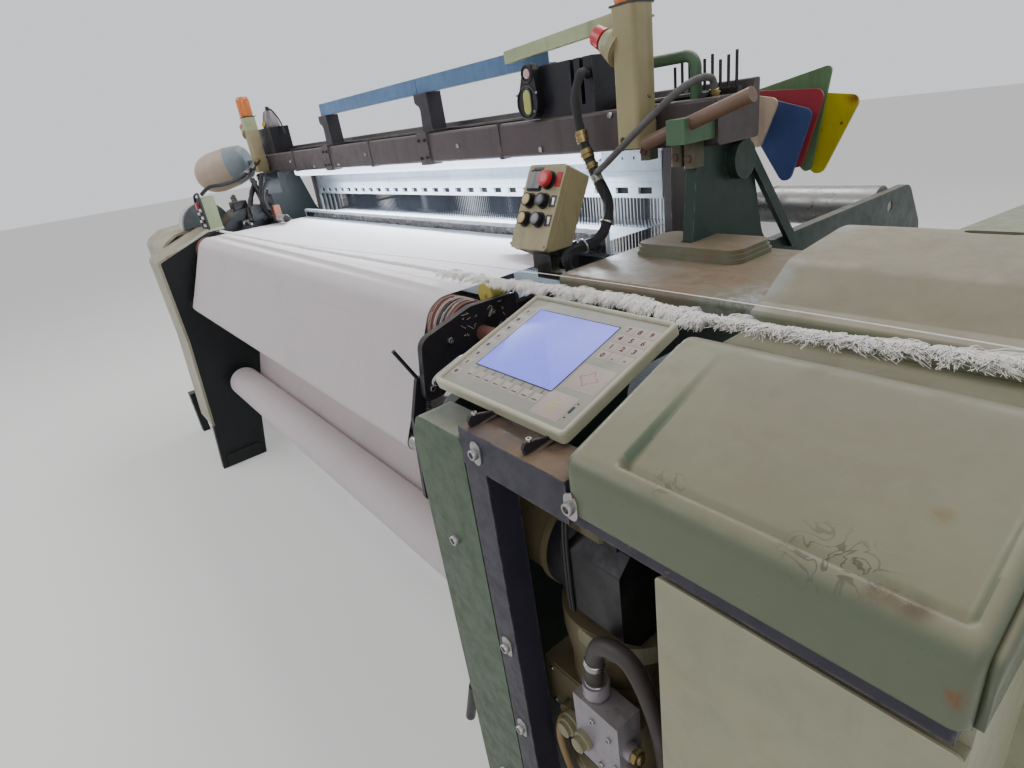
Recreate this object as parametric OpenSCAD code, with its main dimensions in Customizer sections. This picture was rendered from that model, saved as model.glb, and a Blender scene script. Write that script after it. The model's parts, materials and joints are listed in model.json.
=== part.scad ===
// Power loom for wide plain cloth: +Z up, X along the cloth width, the weaver stands at -Y.

/* [Machine] */
// Overall width over the two end covers
machine_w = 3940; // [3880:10:4200]
// Overall depth over the feet of the side frames
machine_d = 1888; // [1860:4:2000]
// Width of the woven cloth
cloth_w = 2054; // [1900:2:2100]
// Middle of the cloth, measured from the middle of the machine
cloth_mid_x = -207; // [-240:1:-180]
// Height of the cloth line between the reed and the breast roller
cloth_z = 1167; // [1160:1:1175]
// Thickness of the cloth and of the warp sheet
sheet_t = 2; // [1:0.5:3]
// Clearance between a sheet and the roller that it runs over
sheet_gap = 0.3; // [0.2:0.05:0.5]
// Radial running clearance of every shaft in its bore
run_gap = 0.05; // [0.02:0.01:0.08]
// Gap between covers that meet
cover_gap = 0.5; // [0.3:0.1:0.9]

/* [Side frames] */
// Thickness of the cast side plates
plate_t = 25; // [20:1:35]
// Thickness of the black front plate on the left
front_plate_t = 36; // [30:1:45]
// Height of the side plates along their level top
plate_top_z = 1150; // [1148:1:1156]
// Length of each foot along Y
foot_l = 240; // [180:5:300]
// Height of the arch between the feet
arch_z = 260; // [200:5:300]
// Gap from the cloth's left edge to the black front plate
left_gap = 60; // [50:1:90]
// Gap from the cloth's left edge to the main left plate
left_main_gap = 266; // [260:1:300]
// Gap from the cloth's right edge to the right plate
right_gap = 323; // [310:1:340]
// Width of the front post on the right
post_w = 141; // [120:1:150]
// Depth of the front post
post_d = 60; // [50:1:70]
// Height of the front post
post_z = 1110; // [1100:1:1112]

/* [Rollers] */
// Radius of the breast roller
breast_r = 62; // [55:1:66]
// Distance from the front of the feet to the breast roller's axis
breast_in = 294; // [284:1:304]
// Radius of the guide bar at the bottom of the inclined cloth
bar_r = 20; // [16:1:24]
// Distance from the front of the feet to the guide bar's axis
bar_in = 150; // [144:1:164]
// Z of the guide bar's axis
bar_z = 870; // [860:1:890]
// Radius of the take-up roller
takeup_r = 60; // [50:1:64]
// Distance from the front of the feet to the take-up roller's axis
takeup_in = 344; // [334:1:354]
// Z of the take-up roller's axis
takeup_z = 770; // [760:1:780]
// Radius of the cloth wound on the roll
cloth_roll_r = 74; // [60:1:80]
// Distance from the front of the feet to the cloth roll's axis
cloth_roll_in = 244; // [234:1:254]
// Z of the cloth roll's axis
cloth_roll_z = 440; // [420:1:460]
// Radius of the journals at the roller ends
journal_r = 16; // [12:1:18]
// Radius of the back rest roller
rest_r = 60; // [50:1:66]
// Distance from the back rest roller's axis to the back of the feet
rest_out = 244; // [224:1:264]
// Radius of the warp beam's flanges
beam_flange_r = 370; // [340:5:380]
// Radius of the yarn wound on the warp beam
yarn_r = 300; // [250:5:320]
// Radius of the warp beam's barrel
barrel_r = 80; // [60:5:100]
// Distance from the warp beam's axis to the back of the feet
warp_beam_out = 404; // [399:1:414]
// Z of the warp beam's axis
warp_beam_z = 480; // [470:1:500]

/* [Sley and reed] */
// Y of the rocking shaft under the sley
rock_y = -110; // [-120:1:-100]
// Z of the rocking shaft
rock_z = 560; // [540:1:580]
// Radius of the rocking shaft
rock_r = 28; // [22:1:32]
// Y of the reed at rest, at its front face
reed_y = -165; // [-170:1:-160]
// Height of the reed's cap above the cloth line
reed_rise = 36; // [30:1:45]
// Number of spaces between the reed's wire groups
dent_n = 40; // [20:1:48]

/* [Heald frames] */
// Number of heald frames
heald_n = 5; // [5:1:5]
// Distance between heald frames along Y
heald_pitch = 24; // [22:0.5:26]
// Thickness of a heald frame
heald_t = 11; // [9:0.5:13]
// Y of the first heald frame's front face
heald_y = 20; // [16:1:24]
// Height of the upper rail's lower edge
heald_low = 1235; // [1230:1:1240]
// Height of the upper rail
heald_rail_h = 135; // [120:1:135]
// Pitch of the rectangular windows in the upper rail
window_pitch = 107; // [95:1:120]
// Travel of a heald frame up or down from the middle
shed_travel = 40; // [30:1:50]

/* [Top beam] */
// Front face of the top beam
beam_y0 = -220; // [-225:1:-215]
// Depth of the top beam
beam_d = 140; // [120:1:150]
// Underside of the top beam
beam_z0 = 1394; // [1390:1:1400]
// Height of the top beam's front face
beam_h = 86; // [80:1:100]

/* [Right covers] */
// Distance from the post to the left edge of the front cover
cover_inset = 211; // [205:1:230]
// Width of the front cover
front_cover_w = 375; // [360:1:380]
// Wall thickness of the moulded covers
wall = 6; // [4:0.5:8]
// Lower edge of the front cover's fascia
fascia_z = 1092; // [1085:1:1100]
// Upper edge of the front cover's fascia
fascia_top_z = 1160; // [1150:1:1165]
// Height of the front cover's rear edge
cover_back_z = 1236; // [1225:1:1245]
// Depth of the front cover from its fascia to its rear edge
cover_back_d = 224; // [215:1:235]
// Height of the deck plate
deck_z = 1190; // [1185:1:1200]
// Distance from the front cover's right edge to the outer face of the end cover
end_w = 100; // [80:1:140]
// Radius of the front cover's side edges
side_round = 12; // [8:1:14]

/* [Service bay] */
// Width of the square tube upright
tube_w = 48; // [40:1:60]
// Top of the square tube rail
rail_top_z = 1130; // [1125:1:1133]
// Width of the cream door
door_w = 264; // [240:1:270]
// Height of the cream door's top edge
door_top_z = 1060; // [1040:1:1065]
// Width of the terminal
terminal_w = 286; // [270:1:300]
// Length of the terminal along its slope
terminal_l = 235; // [220:1:250]
// Tilt of the terminal
terminal_tilt = 17.5; // [15:0.5:19]

/* [Hidden] */
$fn = 32;

// Front and back limits
front_y = -machine_d / 2;
back_y = machine_d / 2;

// Places along X
cloth_x0 = cloth_mid_x - cloth_w / 2;
cloth_x1 = cloth_mid_x + cloth_w / 2;
left_in = cloth_x0 - left_gap;
left_main = cloth_x0 - left_main_gap;
right_in = cloth_x1 + right_gap;
post_x1 = right_in + post_w;
cover_x0 = post_x1 + cover_inset;
cover_x1 = cover_x0 + front_cover_w;
terminal_x0 = right_in + 18;
right_x = cover_x1 + end_w;
left_x = right_x - machine_w;
beam_x0 = left_main - 60;

// Places of the rollers along Y
breast_y = front_y + breast_in;
bar_y = front_y + bar_in;
takeup_y = front_y + takeup_in;
cloth_roll_y = front_y + cloth_roll_in;
rest_y = back_y - rest_out;
warp_beam_y = back_y - warp_beam_out;

// Places along Z and Y that follow the sheets
breast_z = cloth_z - sheet_gap - sheet_t - breast_r;
rest_z = cloth_z - sheet_gap - sheet_t - rest_r;
path_z = cloth_z - sheet_t / 2;
fell_y = reed_y - 45;
beam_y1 = beam_y0 + beam_d;
beam_z1 = beam_z0 + beam_h;
heald_top = heald_low + heald_rail_h;
heald_x0 = left_main + 20;
heald_x1 = cloth_x1 + 80;
heald_end_y = heald_y + (heald_n - 1) * heald_pitch + heald_t;
dent_pitch = cloth_w / dent_n;
pivot_x = right_in - 31;
pivot_z = beam_z0 + 58;
pivot_r = 12;
groove_y0 = front_y + cover_back_d;
dome_y0 = groove_y0 + 132;
dome_y1 = beam_y0 + 120;

// Vector helpers for outlines
function xy(p) = [p[0], p[1]];
function unit(v) = v / norm(v);
function left_normal(a, b) = let (d = unit(b - a)) [-d[1], d[0]];
function reverse(p) = [for (i = [len(p) - 1:-1:0]) p[i]];

// Arc that rounds the corner b of the line a-b-c with radius r
function corner(a, b, c, r, n = 5) =
    r == 0 ? [b] :
    let (
        u = unit(a - b),
        v = unit(c - b),
        half = acos(max(-1, min(1, u * v))) / 2,
        p = b + u * r / tan(half),
        q = b + v * r / tan(half),
        m = b + unit(u + v) * r / sin(half),
        a0 = atan2(p[1] - m[1], p[0] - m[0]),
        a1 = atan2(q[1] - m[1], q[0] - m[0]),
        da = (a1 - a0 + 540) % 360 - 180
    )
    [for (i = [0:n]) m + r * [cos(a0 + da * i / n), sin(a0 + da * i / n)]];

// Closed outline from [u, v, radius] corners
function outline(p) =
    let (n = len(p))
    [for (i = [0:n - 1]) each corner(xy(p[(i + n - 1) % n]), xy(p[i]), xy(p[(i + 1) % n]), p[i][2])];

// Open line from [u, v, radius] corners
function open_line(p) =
    let (n = len(p) - 1)
    [for (i = [0:n]) each (i == 0 || i == n ? [xy(p[i])] : corner(xy(p[i - 1]), xy(p[i]), xy(p[i + 1]), p[i][2]))];

// The same line moved to its left by t, with its radii following
function shift_line(p, t) =
    let (last = len(p) - 1)
    [for (i = [0:last])
        let (
            b = xy(p[i]),
            n0 = i > 0 ? left_normal(xy(p[i - 1]), b) : left_normal(b, xy(p[1])),
            n1 = i < last ? left_normal(b, xy(p[i + 1])) : n0,
            q = b + t * (n0 + n1) / (1 + n0 * n1),
            s = i > 0 && i < last ? sign(cross(b - xy(p[i - 1]), xy(p[i + 1]) - b)) : 0,
            r = p[i][2] == 0 ? 0 : max(0.5, p[i][2] - s * t)
        )
        [q[0], q[1], r]];

// Tangent line between two circles [y, z, signed radius]: direction of its left normal
function tangent(a, b) =
    let (d = [b[0] - a[0], b[1] - a[1]])
    atan2(d[1], d[0]) + acos((a[2] - b[2]) / norm(d));

// Path of a sheet over a chain of circles, moved to its left by t
function sheet_path(c, t) =
    let (last = len(c) - 1)
    [for (i = [0:last])
        let (
            s = c[i][2] + t,
            a0 = i > 0 ? tangent(c[i - 1], c[i]) : tangent(c[0], c[1]),
            a1 = i < last ? tangent(c[i], c[i + 1]) : a0,
            raw = (a1 - a0) % 360,
            da = c[i][2] == 0 || raw == 0 ? 0 : c[i][2] > 0 ? (raw > 0 ? raw - 360 : raw) : (raw < 0 ? raw + 360 : raw),
            n = da == 0 ? 0 : ceil(abs(da) / 7.5)
        )
        for (k = [0:n]) xy(c[i]) + s * [cos(a0 + (n == 0 ? 0 : da * k / n)), sin(a0 + (n == 0 ? 0 : da * k / n))]];

// Solids from outlines: along X from a (Y, Z) outline and along Y from an (X, Z) outline
module along_x(x0, x1) {
    translate([x0, 0, 0]) rotate([90, 0, 90]) linear_extrude(x1 - x0) children();
}

module along_y(y0, y1) {
    translate([0, y1, 0]) rotate([90, 0, 0]) linear_extrude(y1 - y0) children();
}

module x_rod(x0, x1, y, z, r) {
    translate([x0, y, z]) rotate([0, 90, 0]) cylinder(h = x1 - x0, r = r);
}

module y_rod(y0, y1, x, z, r) {
    translate([x, y1, z]) rotate([90, 0, 0]) cylinder(h = y1 - y0, r = r);
}

module block(x0, x1, y0, y1, z0, z1) {
    translate([x0, y0, z0]) cube([x1 - x0, y1 - y0, z1 - z0]);
}

// Skin of thickness t that lies to the left of an open line
module skin(p, t) {
    polygon(concat(open_line(p), reverse(open_line(shift_line(p, t)))));
}

// Rectangle with round corners
module round_rect(x0, x1, y0, y1, r) {
    polygon(outline([[x0, y0, r], [x1, y0, r], [x1, y1, r], [x0, y1, r]]));
}

// Round tube through points, as one closed sweep with n sides
function ring(p, d, r, n) =
    let (
        w = unit(d),
        u = unit(cross(w, abs(w[2]) > 0.9 ? [1, 0, 0] : [0, 0, 1])),
        v = cross(w, u)
    )
    [for (k = [0:n - 1]) p + r * (u * cos(360 * k / n) + v * sin(360 * k / n))];

// d0 and d1 are the directions in which its first and last faces look along the tube
module tube(p, r, n, d0, d1) {
    last = len(p) - 1;
    rings = [for (i = [0:last]) each ring(p[i], i == 0 ? d0 : i == last ? d1 : p[i + 1] - p[i - 1], r, n)];
    sides = [for (i = [0:last - 1]) for (k = [0:n - 1])
        [i * n + k, i * n + (k + 1) % n, (i + 1) * n + (k + 1) % n, (i + 1) * n + k]];
    polyhedron(rings, concat([[for (k = [n - 1:-1:0]) k]], sides, [[for (k = [0:n - 1]) last * n + k]]));
}

// Point of a smooth curve through four points
function blend(a, b, c, d, t) =
    0.5 * (2 * b + (c - a) * t + (2 * a - 5 * b + 4 * c - d) * t * t + (3 * b - a - 3 * c + d) * t * t * t);

function smooth(p, n = 4) =
    let (last = len(p) - 1)
    concat([for (i = [0:last - 1]) for (k = [0:n - 1])
        blend(p[max(i - 1, 0)], p[i], p[i + 1], p[min(i + 2, last)], k / n)], [p[last]]);

// Outline of a side plate, with its foot starting at f
function side_outline(f, f_top) = [
    [f, 0, 0], [f + foot_l, 0, 0], [f + foot_l + 40, arch_z, 80], [back_y - foot_l - 40, arch_z, 80],
    [back_y - foot_l, 0, 0], [back_y, 0, 0], [back_y, 1010, 60], [rest_y + 130, plate_top_z, 60],
    [beam_y1 + 90, plate_top_z, 60], [beam_y1 + 20, beam_z0, 15], [beam_y0 - 20, beam_z0, 15],
    [beam_y0 - 45, plate_top_z, 40], [f + 160, plate_top_z, 40], [f, f_top, 20]
];

// Windows of a side plate
module plate_windows() {
    y0 = rock_y + 80;
    y1 = warp_beam_y - 270;
    y2 = takeup_y + 120;
    y3 = rock_y - 90;
    z1 = plate_top_z - 190;
    polygon(outline([[y0, rock_z + 40, 50], [y1, rock_z, 50], [y1, z1, 50], [y0, z1, 50]]));
    polygon(outline([[y2, rock_z + 100, 50], [y3, rock_z + 100, 50], [y3, z1 + 40, 50], [y2, z1 + 40, 50]]));
}

// Bores of a side plate for the shafts that turn in it
module rear_bores() {
    translate([rest_y, rest_z]) circle(r = journal_r + run_gap);
    translate([warp_beam_y, warp_beam_z]) circle(r = journal_r + run_gap);
    translate([rock_y, rock_z]) circle(r = rock_r + run_gap);
}

module front_bores() {
    translate([breast_y, breast_z]) circle(r = journal_r + run_gap);
    translate([bar_y, bar_z]) circle(r = journal_r + run_gap);
    translate([takeup_y, takeup_z]) circle(r = journal_r + run_gap);
    translate([cloth_roll_y, cloth_roll_z]) circle(r = journal_r + run_gap);
}

// Legs that carry the left end cover out to its edge
outrigger_z = arch_z - 60;
leg_w = 60;
left_low_z = 250;

module left_side_frame() color("#2b3332") {
    x1 = left_main;
    x0 = left_main - plate_t;
    along_x(x0, x1) difference() {
        polygon(outline(side_outline(left_front_back, plate_top_z - 50)));
        plate_windows();
        rear_bores();
    }
    for (y = [front_y + 460, back_y - 300]) {
        block(left_x + 20, x0, y, y + leg_w, outrigger_z, left_low_z);
        block(left_x + 20, left_x + 20 + leg_w, y, y + leg_w, 0, outrigger_z);
    }
    block(left_x + 4, left_x + 64, front_y + 52, front_y + 92, 0, left_low_z);
    block(left_x + 4, left_x + 64, front_y + 92, front_y + 460 + leg_w, outrigger_z, left_low_z);
}

// Line of the left cover's front and top, from its lower front edge backwards
left_wall = 12;
left_top_z = 1196;
left_front_back = front_y + 390;
left_line = [
    [front_y + 32, left_low_z, 0], [front_y + 60, 700, 200], [front_y + 58, 1098, 24], [front_y + 308, left_top_z, 60],
    [left_front_back, left_top_z, 0]
];
left_rear_z = 1150;
left_rear_line = [
    [left_front_back, left_top_z, 0], [left_front_back + 40, left_rear_z, 20], [640, left_rear_z, 80],
    [720, 1040, 60], [720, left_low_z, 0]
];

module left_front_frame() color("#1d2122") {
    inner = open_line(shift_line(left_line, -left_wall - cover_gap));
    along_x(left_in - front_plate_t, left_in) difference() {
        polygon(concat(inner, [
            [left_front_back, arch_z], [front_y + foot_l + 44, arch_z], [front_y + foot_l, 0],
            [front_y + 12, 0], [front_y + 34, arch_z - 20]
        ]));
        front_bores();
    }
    block(left_main, left_in - front_plate_t, left_front_back - 30, left_front_back, arch_z, cloth_z - 77);
    along_x(left_in, left_in + 14) polygon(outline([
        [front_y + 40, 8, 6], [front_y + foot_l - 10, 8, 6], [front_y + foot_l - 10, 70, 20], [front_y + 40, 70, 20]
    ]));
    along_x(left_main + 4, left_in - 6) polygon(outline([
        [left_front_back + 4, cloth_z - 77, 0], [left_front_back + 96, cloth_z - 77, 0],
        [left_front_back + 130, cloth_z - 50, 20], [left_front_back + 296, cloth_z - 30, 20],
        [left_front_back + 296, cloth_z + 34, 20], [left_front_back + 220, cloth_z + 92, 30],
        [left_front_back + 90, cloth_z + 84, 30], [left_front_back + 4, cloth_z + 22, 20]
    ]));
}

// Left end cover: a narrow front part and a wide rear part that starts farther back
module left_cover() color("#b9b79c") {
    front_x0 = left_in - 236;
    rear_front = front_y + 130;
    x1 = left_main - plate_t - cover_gap;
    along_x(front_x0, left_in) skin(left_line, -left_wall);
    along_x(front_x0, front_x0 + left_wall) polygon(concat(open_line(left_line), [[left_front_back, left_low_z]]));
    rear = concat([[rear_front, left_low_z, 0], [rear_front, left_top_z - 60, 50], [rear_front + 80, left_top_z - 12, 40]],
        left_rear_line);
    along_x(left_x, x1) skin(rear, -left_wall);
    along_x(left_x, left_x + left_wall) polygon(open_line(rear));
}

module right_side_frame() color("#4d6b4b") {
    x0 = right_in;
    x1 = right_in + plate_t;
    along_x(x0, x1) difference() {
        polygon(outline(side_outline(front_y + post_d - 1, post_z - 10)));
        plate_windows();
        rear_bores();
        front_bores();
    }
    along_y(front_y, front_y + post_d) polygon(outline([
        [x0, 0, 0], [post_x1, 0, 0], [post_x1, post_z, 12], [x0 + 24, post_z, 20], [x0, post_z - 40, 10]
    ]));
    x_rod(x1, x1 + 24, beam_y0 + 109, beam_z0 - 40, 38);
    along_x(x1, x1 + 12) polygon([
        [beam_y1 - 30, beam_z0], [beam_y1, beam_z0], [beam_y1 + 235, plate_top_z - 30], [beam_y1 + 200, plate_top_z - 30]
    ]);
}

// Square tube frame of the service bay, with the base plate under the bay and the end cover
rail_h = 59;
tray_z = 84;
panel_t = 2.5;
end_cover_y1 = back_y - 190;
module service_frame() color("#23252d") {
    r0 = post_x1 + 3;
    r1 = cover_x1 - tube_w;
    block(post_x1, cover_x0 - cover_gap, front_y, front_y + post_d, rail_top_z - rail_h, rail_top_z);
    block(cover_x0 - 2, cover_x1 - wall - cover_gap, front_y + wall + cover_gap, front_y + post_d,
        rail_top_z - rail_h, rail_top_z);
    difference() {
        block(r0, r0 + tube_w, front_y, front_y + tube_w, 0, rail_top_z - rail_h);
        block(r0 + 4, r0 + tube_w - 4, front_y + 4, front_y + tube_w - 4, 10, rail_top_z - rail_h - 10);
    }
    block(r1 - wall, cover_x1 - wall - cover_gap, panel_y0 + panel_t, front_y + post_d + 18, 0, rail_top_z - rail_h);
    for (x = [post_x1 + 20, terminal_x0 + terminal_w - 30]) along_x(x, x + 8) polygon([
        [front_y + 20, rail_top_z], [front_y + 58, rail_top_z],
        [front_y + 230, terminal_under(front_y + 230) - 3], [front_y + 60, terminal_under(front_y + 60) - 3]
    ]);
    block(r0, right_x - 60, front_y + tube_w - 1, end_cover_y1, tray_z - 6, tray_z);
    for (x = [r0, right_x - 60 - tube_w]) for (y = [front_y + 640, end_cover_y1 - 60])
        block(x, x + tube_w, y, y + 60, 0, tray_z - 5);
}

module cross_ties() color("#2c3130") {
    block(left_main, right_in, left_front_back, left_front_back + 100, cloth_z - 165, cloth_z - 77);
    block(left_main, right_in, rock_y - 220, rock_y - 120, arch_z + 20, arch_z + 120);
    block(left_main, right_in, back_y - 130, back_y - 40, arch_z - 170, arch_z - 90);
}

// Hanging guides that the heald frames slide in, with the gap on each face of a frame
slide_gap = 0.3;
module heald_guide(x0, x1, mouth_x0, mouth_x1) {
    difference() {
        block(x0, x1, heald_y - 12, heald_end_y + 12, heald_low - 330, beam_z0 + 40);
        for (i = [0:heald_n - 1])
            block(mouth_x0, mouth_x1, heald_y + i * heald_pitch - slide_gap,
                heald_y + i * heald_pitch + heald_t + slide_gap, heald_low - 340, beam_z0 + 50);
    }
}

// Band or clamp round the front of the top beam, w wide and t thick
module beam_band(x, w, t) {
    along_x(x - w / 2, x + w / 2) polygon([
        [beam_y0 - t, beam_z0 - t], [beam_y0 + 40, beam_z0 - t], [beam_y0 + 40, beam_z0 + 1], [beam_y0 + 1, beam_z0 + 9],
        [beam_y0 + 1, beam_z1 - 9], [beam_y0 + 9, beam_z1 - 1], [beam_y0 + 14, beam_z1 - 1], [beam_y0 + 14, beam_z1 + t],
        [beam_y0 - t, beam_z1 + t]
    ]);
}

module top_beam() color("#4a4340") {
    along_x(beam_x0, right_in + 57) polygon(outline([
        [beam_y0, beam_z0, 8], [beam_y1, beam_z0, 8], [beam_y1, beam_z1 + 24, 5], [beam_y1 - 18, beam_z1 + 24, 5],
        [beam_y1 - 24, beam_z1, 8], [beam_y0, beam_z1, 8]
    ]));
    for (k = [-1:1]) beam_band(post_x[0] + (k + 0.5) * (post_x[1] - post_x[0]), 9, 3);
    for (x = post_x) beam_band(x, 58, 6);
    for (s = [0, 1]) {
        gx = s == 0 ? heald_x0 - 12 : heald_x1 - 12;
        heald_guide(gx, gx + 24, s == 0 ? gx + 11 : gx - 1, s == 0 ? gx + 25 : gx + 13);
        block(gx, gx + 24, beam_y1, heald_y - 11, beam_z0 + 10, beam_z0 + 40);
    }
    y_rod(beam_y1, heald_end_y + 16, pivot_x, pivot_z, pivot_r);
    y_rod(heald_end_y + 10, heald_end_y + 16, pivot_x, pivot_z, pivot_r + 8);
}

// Dark posts on the top beam that carry the blue bars
post_x = [cloth_mid_x - 450, cloth_mid_x + 336];
bar_low_z = beam_z1 + 118;
bar_h = 44;
module beam_posts() color("#26282e") {
    y0 = beam_y0 + 22;
    for (x = post_x) {
        along_y(y0, y0 + 54) polygon(outline([
            [x - 30, beam_z1 + 8, 0], [x + 30, beam_z1 + 8, 0], [x + 26, bar_low_z, 0], [x - 52, bar_low_z, 6],
            [x - 52, bar_low_z - 26, 8], [x - 24, bar_low_z - 40, 20]
        ]));
        block(x - 46, x + 46, beam_y0 + 16, beam_y0 + 96, beam_z1, beam_z1 + 9);
    }
    for (i = [0, 1]) {
        x = post_x[i] - 36;
        x1 = i == 0 ? post_x[1] - 40 : x + 620;
        along_x(x, x1) polygon([
            [y0 + 8, bar_low_z], [y0 + 36, bar_low_z], [y0 + 36, bar_low_z + 4], [y0 + 12, bar_low_z + 4],
            [y0 + 12, bar_low_z + bar_h - 4], [y0 + 36, bar_low_z + bar_h - 4], [y0 + 36, bar_low_z + bar_h],
            [y0 + 8, bar_low_z + bar_h]
        ]);
    }
}

module shed_lamp() color("#e8eef2") {
    x0 = cloth_x0 - 20;
    x1 = cloth_x1 - 40;
    along_x(x0, x1) polygon(outline([
        [beam_y1 - 80, beam_z0 - 4, 0], [beam_y1 - 20, beam_z0 - 4, 0], [beam_y1 - 20, beam_z0 - 24, 6],
        [beam_y1 - 50, beam_z0 - 34, 6], [beam_y1 - 80, beam_z0 - 24, 6]
    ]));
    for (x = [x0 + 80:480:x1 - 60]) block(x, x + 40, beam_y1 - 70, beam_y1 - 30, beam_z0 - 4, beam_z0);
}

module left_end_covers() color("#c9c2b0") {
    cx = left_main - 290;
    cz = beam_z0 + 11;
    cy = beam_y0 - 270;
    translate([cx, cy, cz]) rotate([0, 78, 53]) rotate_extrude() polygon(concat([[0, 0]], [
        for (a = [10:10:80]) [96 * sin(a), 96 * (1 - cos(a))]], [[100, 110], [98, 200], [84, 280], [62, 300], [0, 300]]));
    block(cx + 150, beam_x0 - 0.3, cy + 228, cy + 300, cz + 25, cz + 59);
    along_x(left_main - 110, left_main + 3) difference() {
        translate([left_front_back - 24, left_top_z]) circle(r = 112);
        translate([left_front_back - 200, left_top_z - 200]) square([400, 200.3]);
    }
}

// Small box of push buttons on the left
box_x0 = left_in - 94;
box_x1 = box_x0 + 88;
box_y0 = left_front_back - 62;
box_y1 = box_y0 + 60;
box_z0 = left_top_z + 0.3;
box_z1 = box_z0 + 140;
module left_button_box() color("#8f9c76") {
    difference() {
        block(box_x0, box_x1, box_y0, box_y1, box_z0, box_z1);
        y_rod(box_y0 - 1, box_y0 + 24, (box_x0 + box_x1) / 2, box_z1 - 34, 9 + run_gap * 4);
    }
    for (i = [0:1]) for (k = [0:1])
        block(box_x0 + 14 + 34 * k, box_x0 + 40 + 34 * k, box_y0 - 8, box_y0, box_z0 + 10 + 40 * i, box_z0 + 40 + 40 * i);
}

module left_box_stop() color("#a32428") {
    x = (box_x0 + box_x1) / 2;
    y_rod(box_y0 - 20, box_y0 - 8, x, box_z1 - 34, 16);
    y_rod(box_y0 - 8, box_y0 + 14, x, box_z1 - 34, 9);
}

// Front cover: fascia, sloping top and the trough behind it
cover_slope = atan2(cover_back_z - fascia_top_z, cover_back_d);
cover_line = [
    [front_y, fascia_z, 0], [front_y, fascia_top_z, 22], [groove_y0, cover_back_z, 14],
    [groove_y0 + 12, cover_back_z - 46, 10], [dome_y0 - cover_gap, cover_back_z - 46, 0]
];
module front_cover() color("#8b8f6f") {
    side = concat(open_line(cover_line), [[dome_y0 - cover_gap, fascia_z + 40], [front_y + post_d + 8, fascia_z + 40],
        [front_y + post_d + 8, fascia_z]]);
    difference() {
        union() {
            along_x(cover_x0, cover_x1) skin(cover_line, -wall);
            along_x(cover_x0, cover_x0 + wall) difference() {
                polygon(side);
                translate([front_y - 1, 0]) square([post_d + 2, rail_top_z + 1]);
            }
            along_x(cover_x1 - wall, cover_x1)
                polygon(concat(open_line(cover_line), [[dome_y0 - cover_gap, fascia_z]]));
        }
        translate([cover_x0, front_y, fascia_top_z]) rotate([cover_slope, 0, 0])
            translate([0, 0, -wall / 2]) linear_extrude(20) polygon(outline([
                [70, 42, 16], [front_cover_w - 24, 42, 18], [front_cover_w - 24, cover_back_d - 16, 18],
                [22, cover_back_d - 16, 12]
            ]));
        for (s = [0, 1]) translate([s == 0 ? cover_x0 : cover_x1, front_y, fascia_top_z]) mirror([1 - s, 0, 0]) {
            translate([0, 0, fascia_z - fascia_top_z - 1]) linear_extrude(fascia_top_z - fascia_z) mirror([0, 1, 0]) edge_round();
            rotate([cover_slope, 0, 0]) along_y(0, cover_back_d - 4) edge_round();
        }
    }
}

// Outline that takes the corner at the origin off a block lying to its lower left, with a radius
module edge_round() {
    difference() {
        translate([-side_round, -side_round]) square(side_round + 1);
        translate([-side_round, -side_round]) circle(r = side_round);
    }
}

// Dome over the drive, with two finger slots near its top
dome_line = [
    [dome_y0, cover_back_z - 50, 0], [dome_y0, cover_back_z - 18, 8], [dome_y0 + 28, cover_back_z - 12, 12],
    [dome_y0 + 96, cover_back_z + 30, 60], [dome_y0 + 260, cover_back_z + 44, 150],
    [dome_y1 - 90, cover_back_z + 10, 60], [dome_y1, cover_back_z - 30, 10], [dome_y1, cover_back_z - 50, 0]
];
module dome_cover() color("#96957a") {
    x1 = right_x - 1;
    difference() {
        union() {
            along_x(cover_x0, x1) skin(dome_line, -wall);
            for (x = [cover_x0, x1 - wall]) along_x(x, x + wall) polygon(open_line(dome_line));
        }
        for (y = [dome_y0 + 260, dome_y0 + 350])
            translate([cover_x0 + 190, y, cover_back_z]) linear_extrude(80) union() {
                square([44, 26], center = true);
                for (s = [-22, 22]) translate([s, 0]) circle(r = 13);
            }
    }
}

// Right end cover with the folded side panel of the service bay in front of it
module end_cover() color("#7f8567") {
    x0 = cover_x0;
    z1 = cover_back_z - 50 - 0.3;
    y0 = dome_y1 - 24;
    rope_end_x = right_x - 60;
    along_x(cover_x1 + cover_gap, right_x) polygon(outline([
        [groove_y0 + 20, tray_z, 0], [end_cover_y1, tray_z, 0], [end_cover_y1, 1120, 60], [y0, z1, 10],
        [dome_y0 - cover_gap, z1, 0], [dome_y0 - cover_gap, cover_back_z - 46, 0], [groove_y0 + 20, cover_back_z - 46, 0]
    ]));
    along_x(x0, cover_x1 + cover_gap) polygon(outline([
        [y0, tray_z, 0], [end_cover_y1, tray_z, 0], [end_cover_y1, 1120, 60], [y0, z1, 10]
    ]));
    block(x0, cover_x1 + cover_gap, dome_y0 + 4, y0 + 1, z1 - 12, z1);
    block(cover_x1 - panel_t, cover_x1, panel_y0, dome_y0, tray_z, fascia_z - cover_gap);
    block(cover_x1 - panel_t, cover_x1 + cover_gap + 1, groove_y0 + 20, groove_y0 + 40, tray_z, fascia_z - cover_gap);
    block(cover_x1 - wall - tube_w, cover_x1, panel_y0, panel_y0 + panel_t, tray_z, rail_top_z - rail_h - cover_gap);
    block(rope_end_x, rope_end_x + 12, groove_y0 + 66, groove_y0 + 98, cover_back_z - 47, cover_back_z + 12);
}

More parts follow.
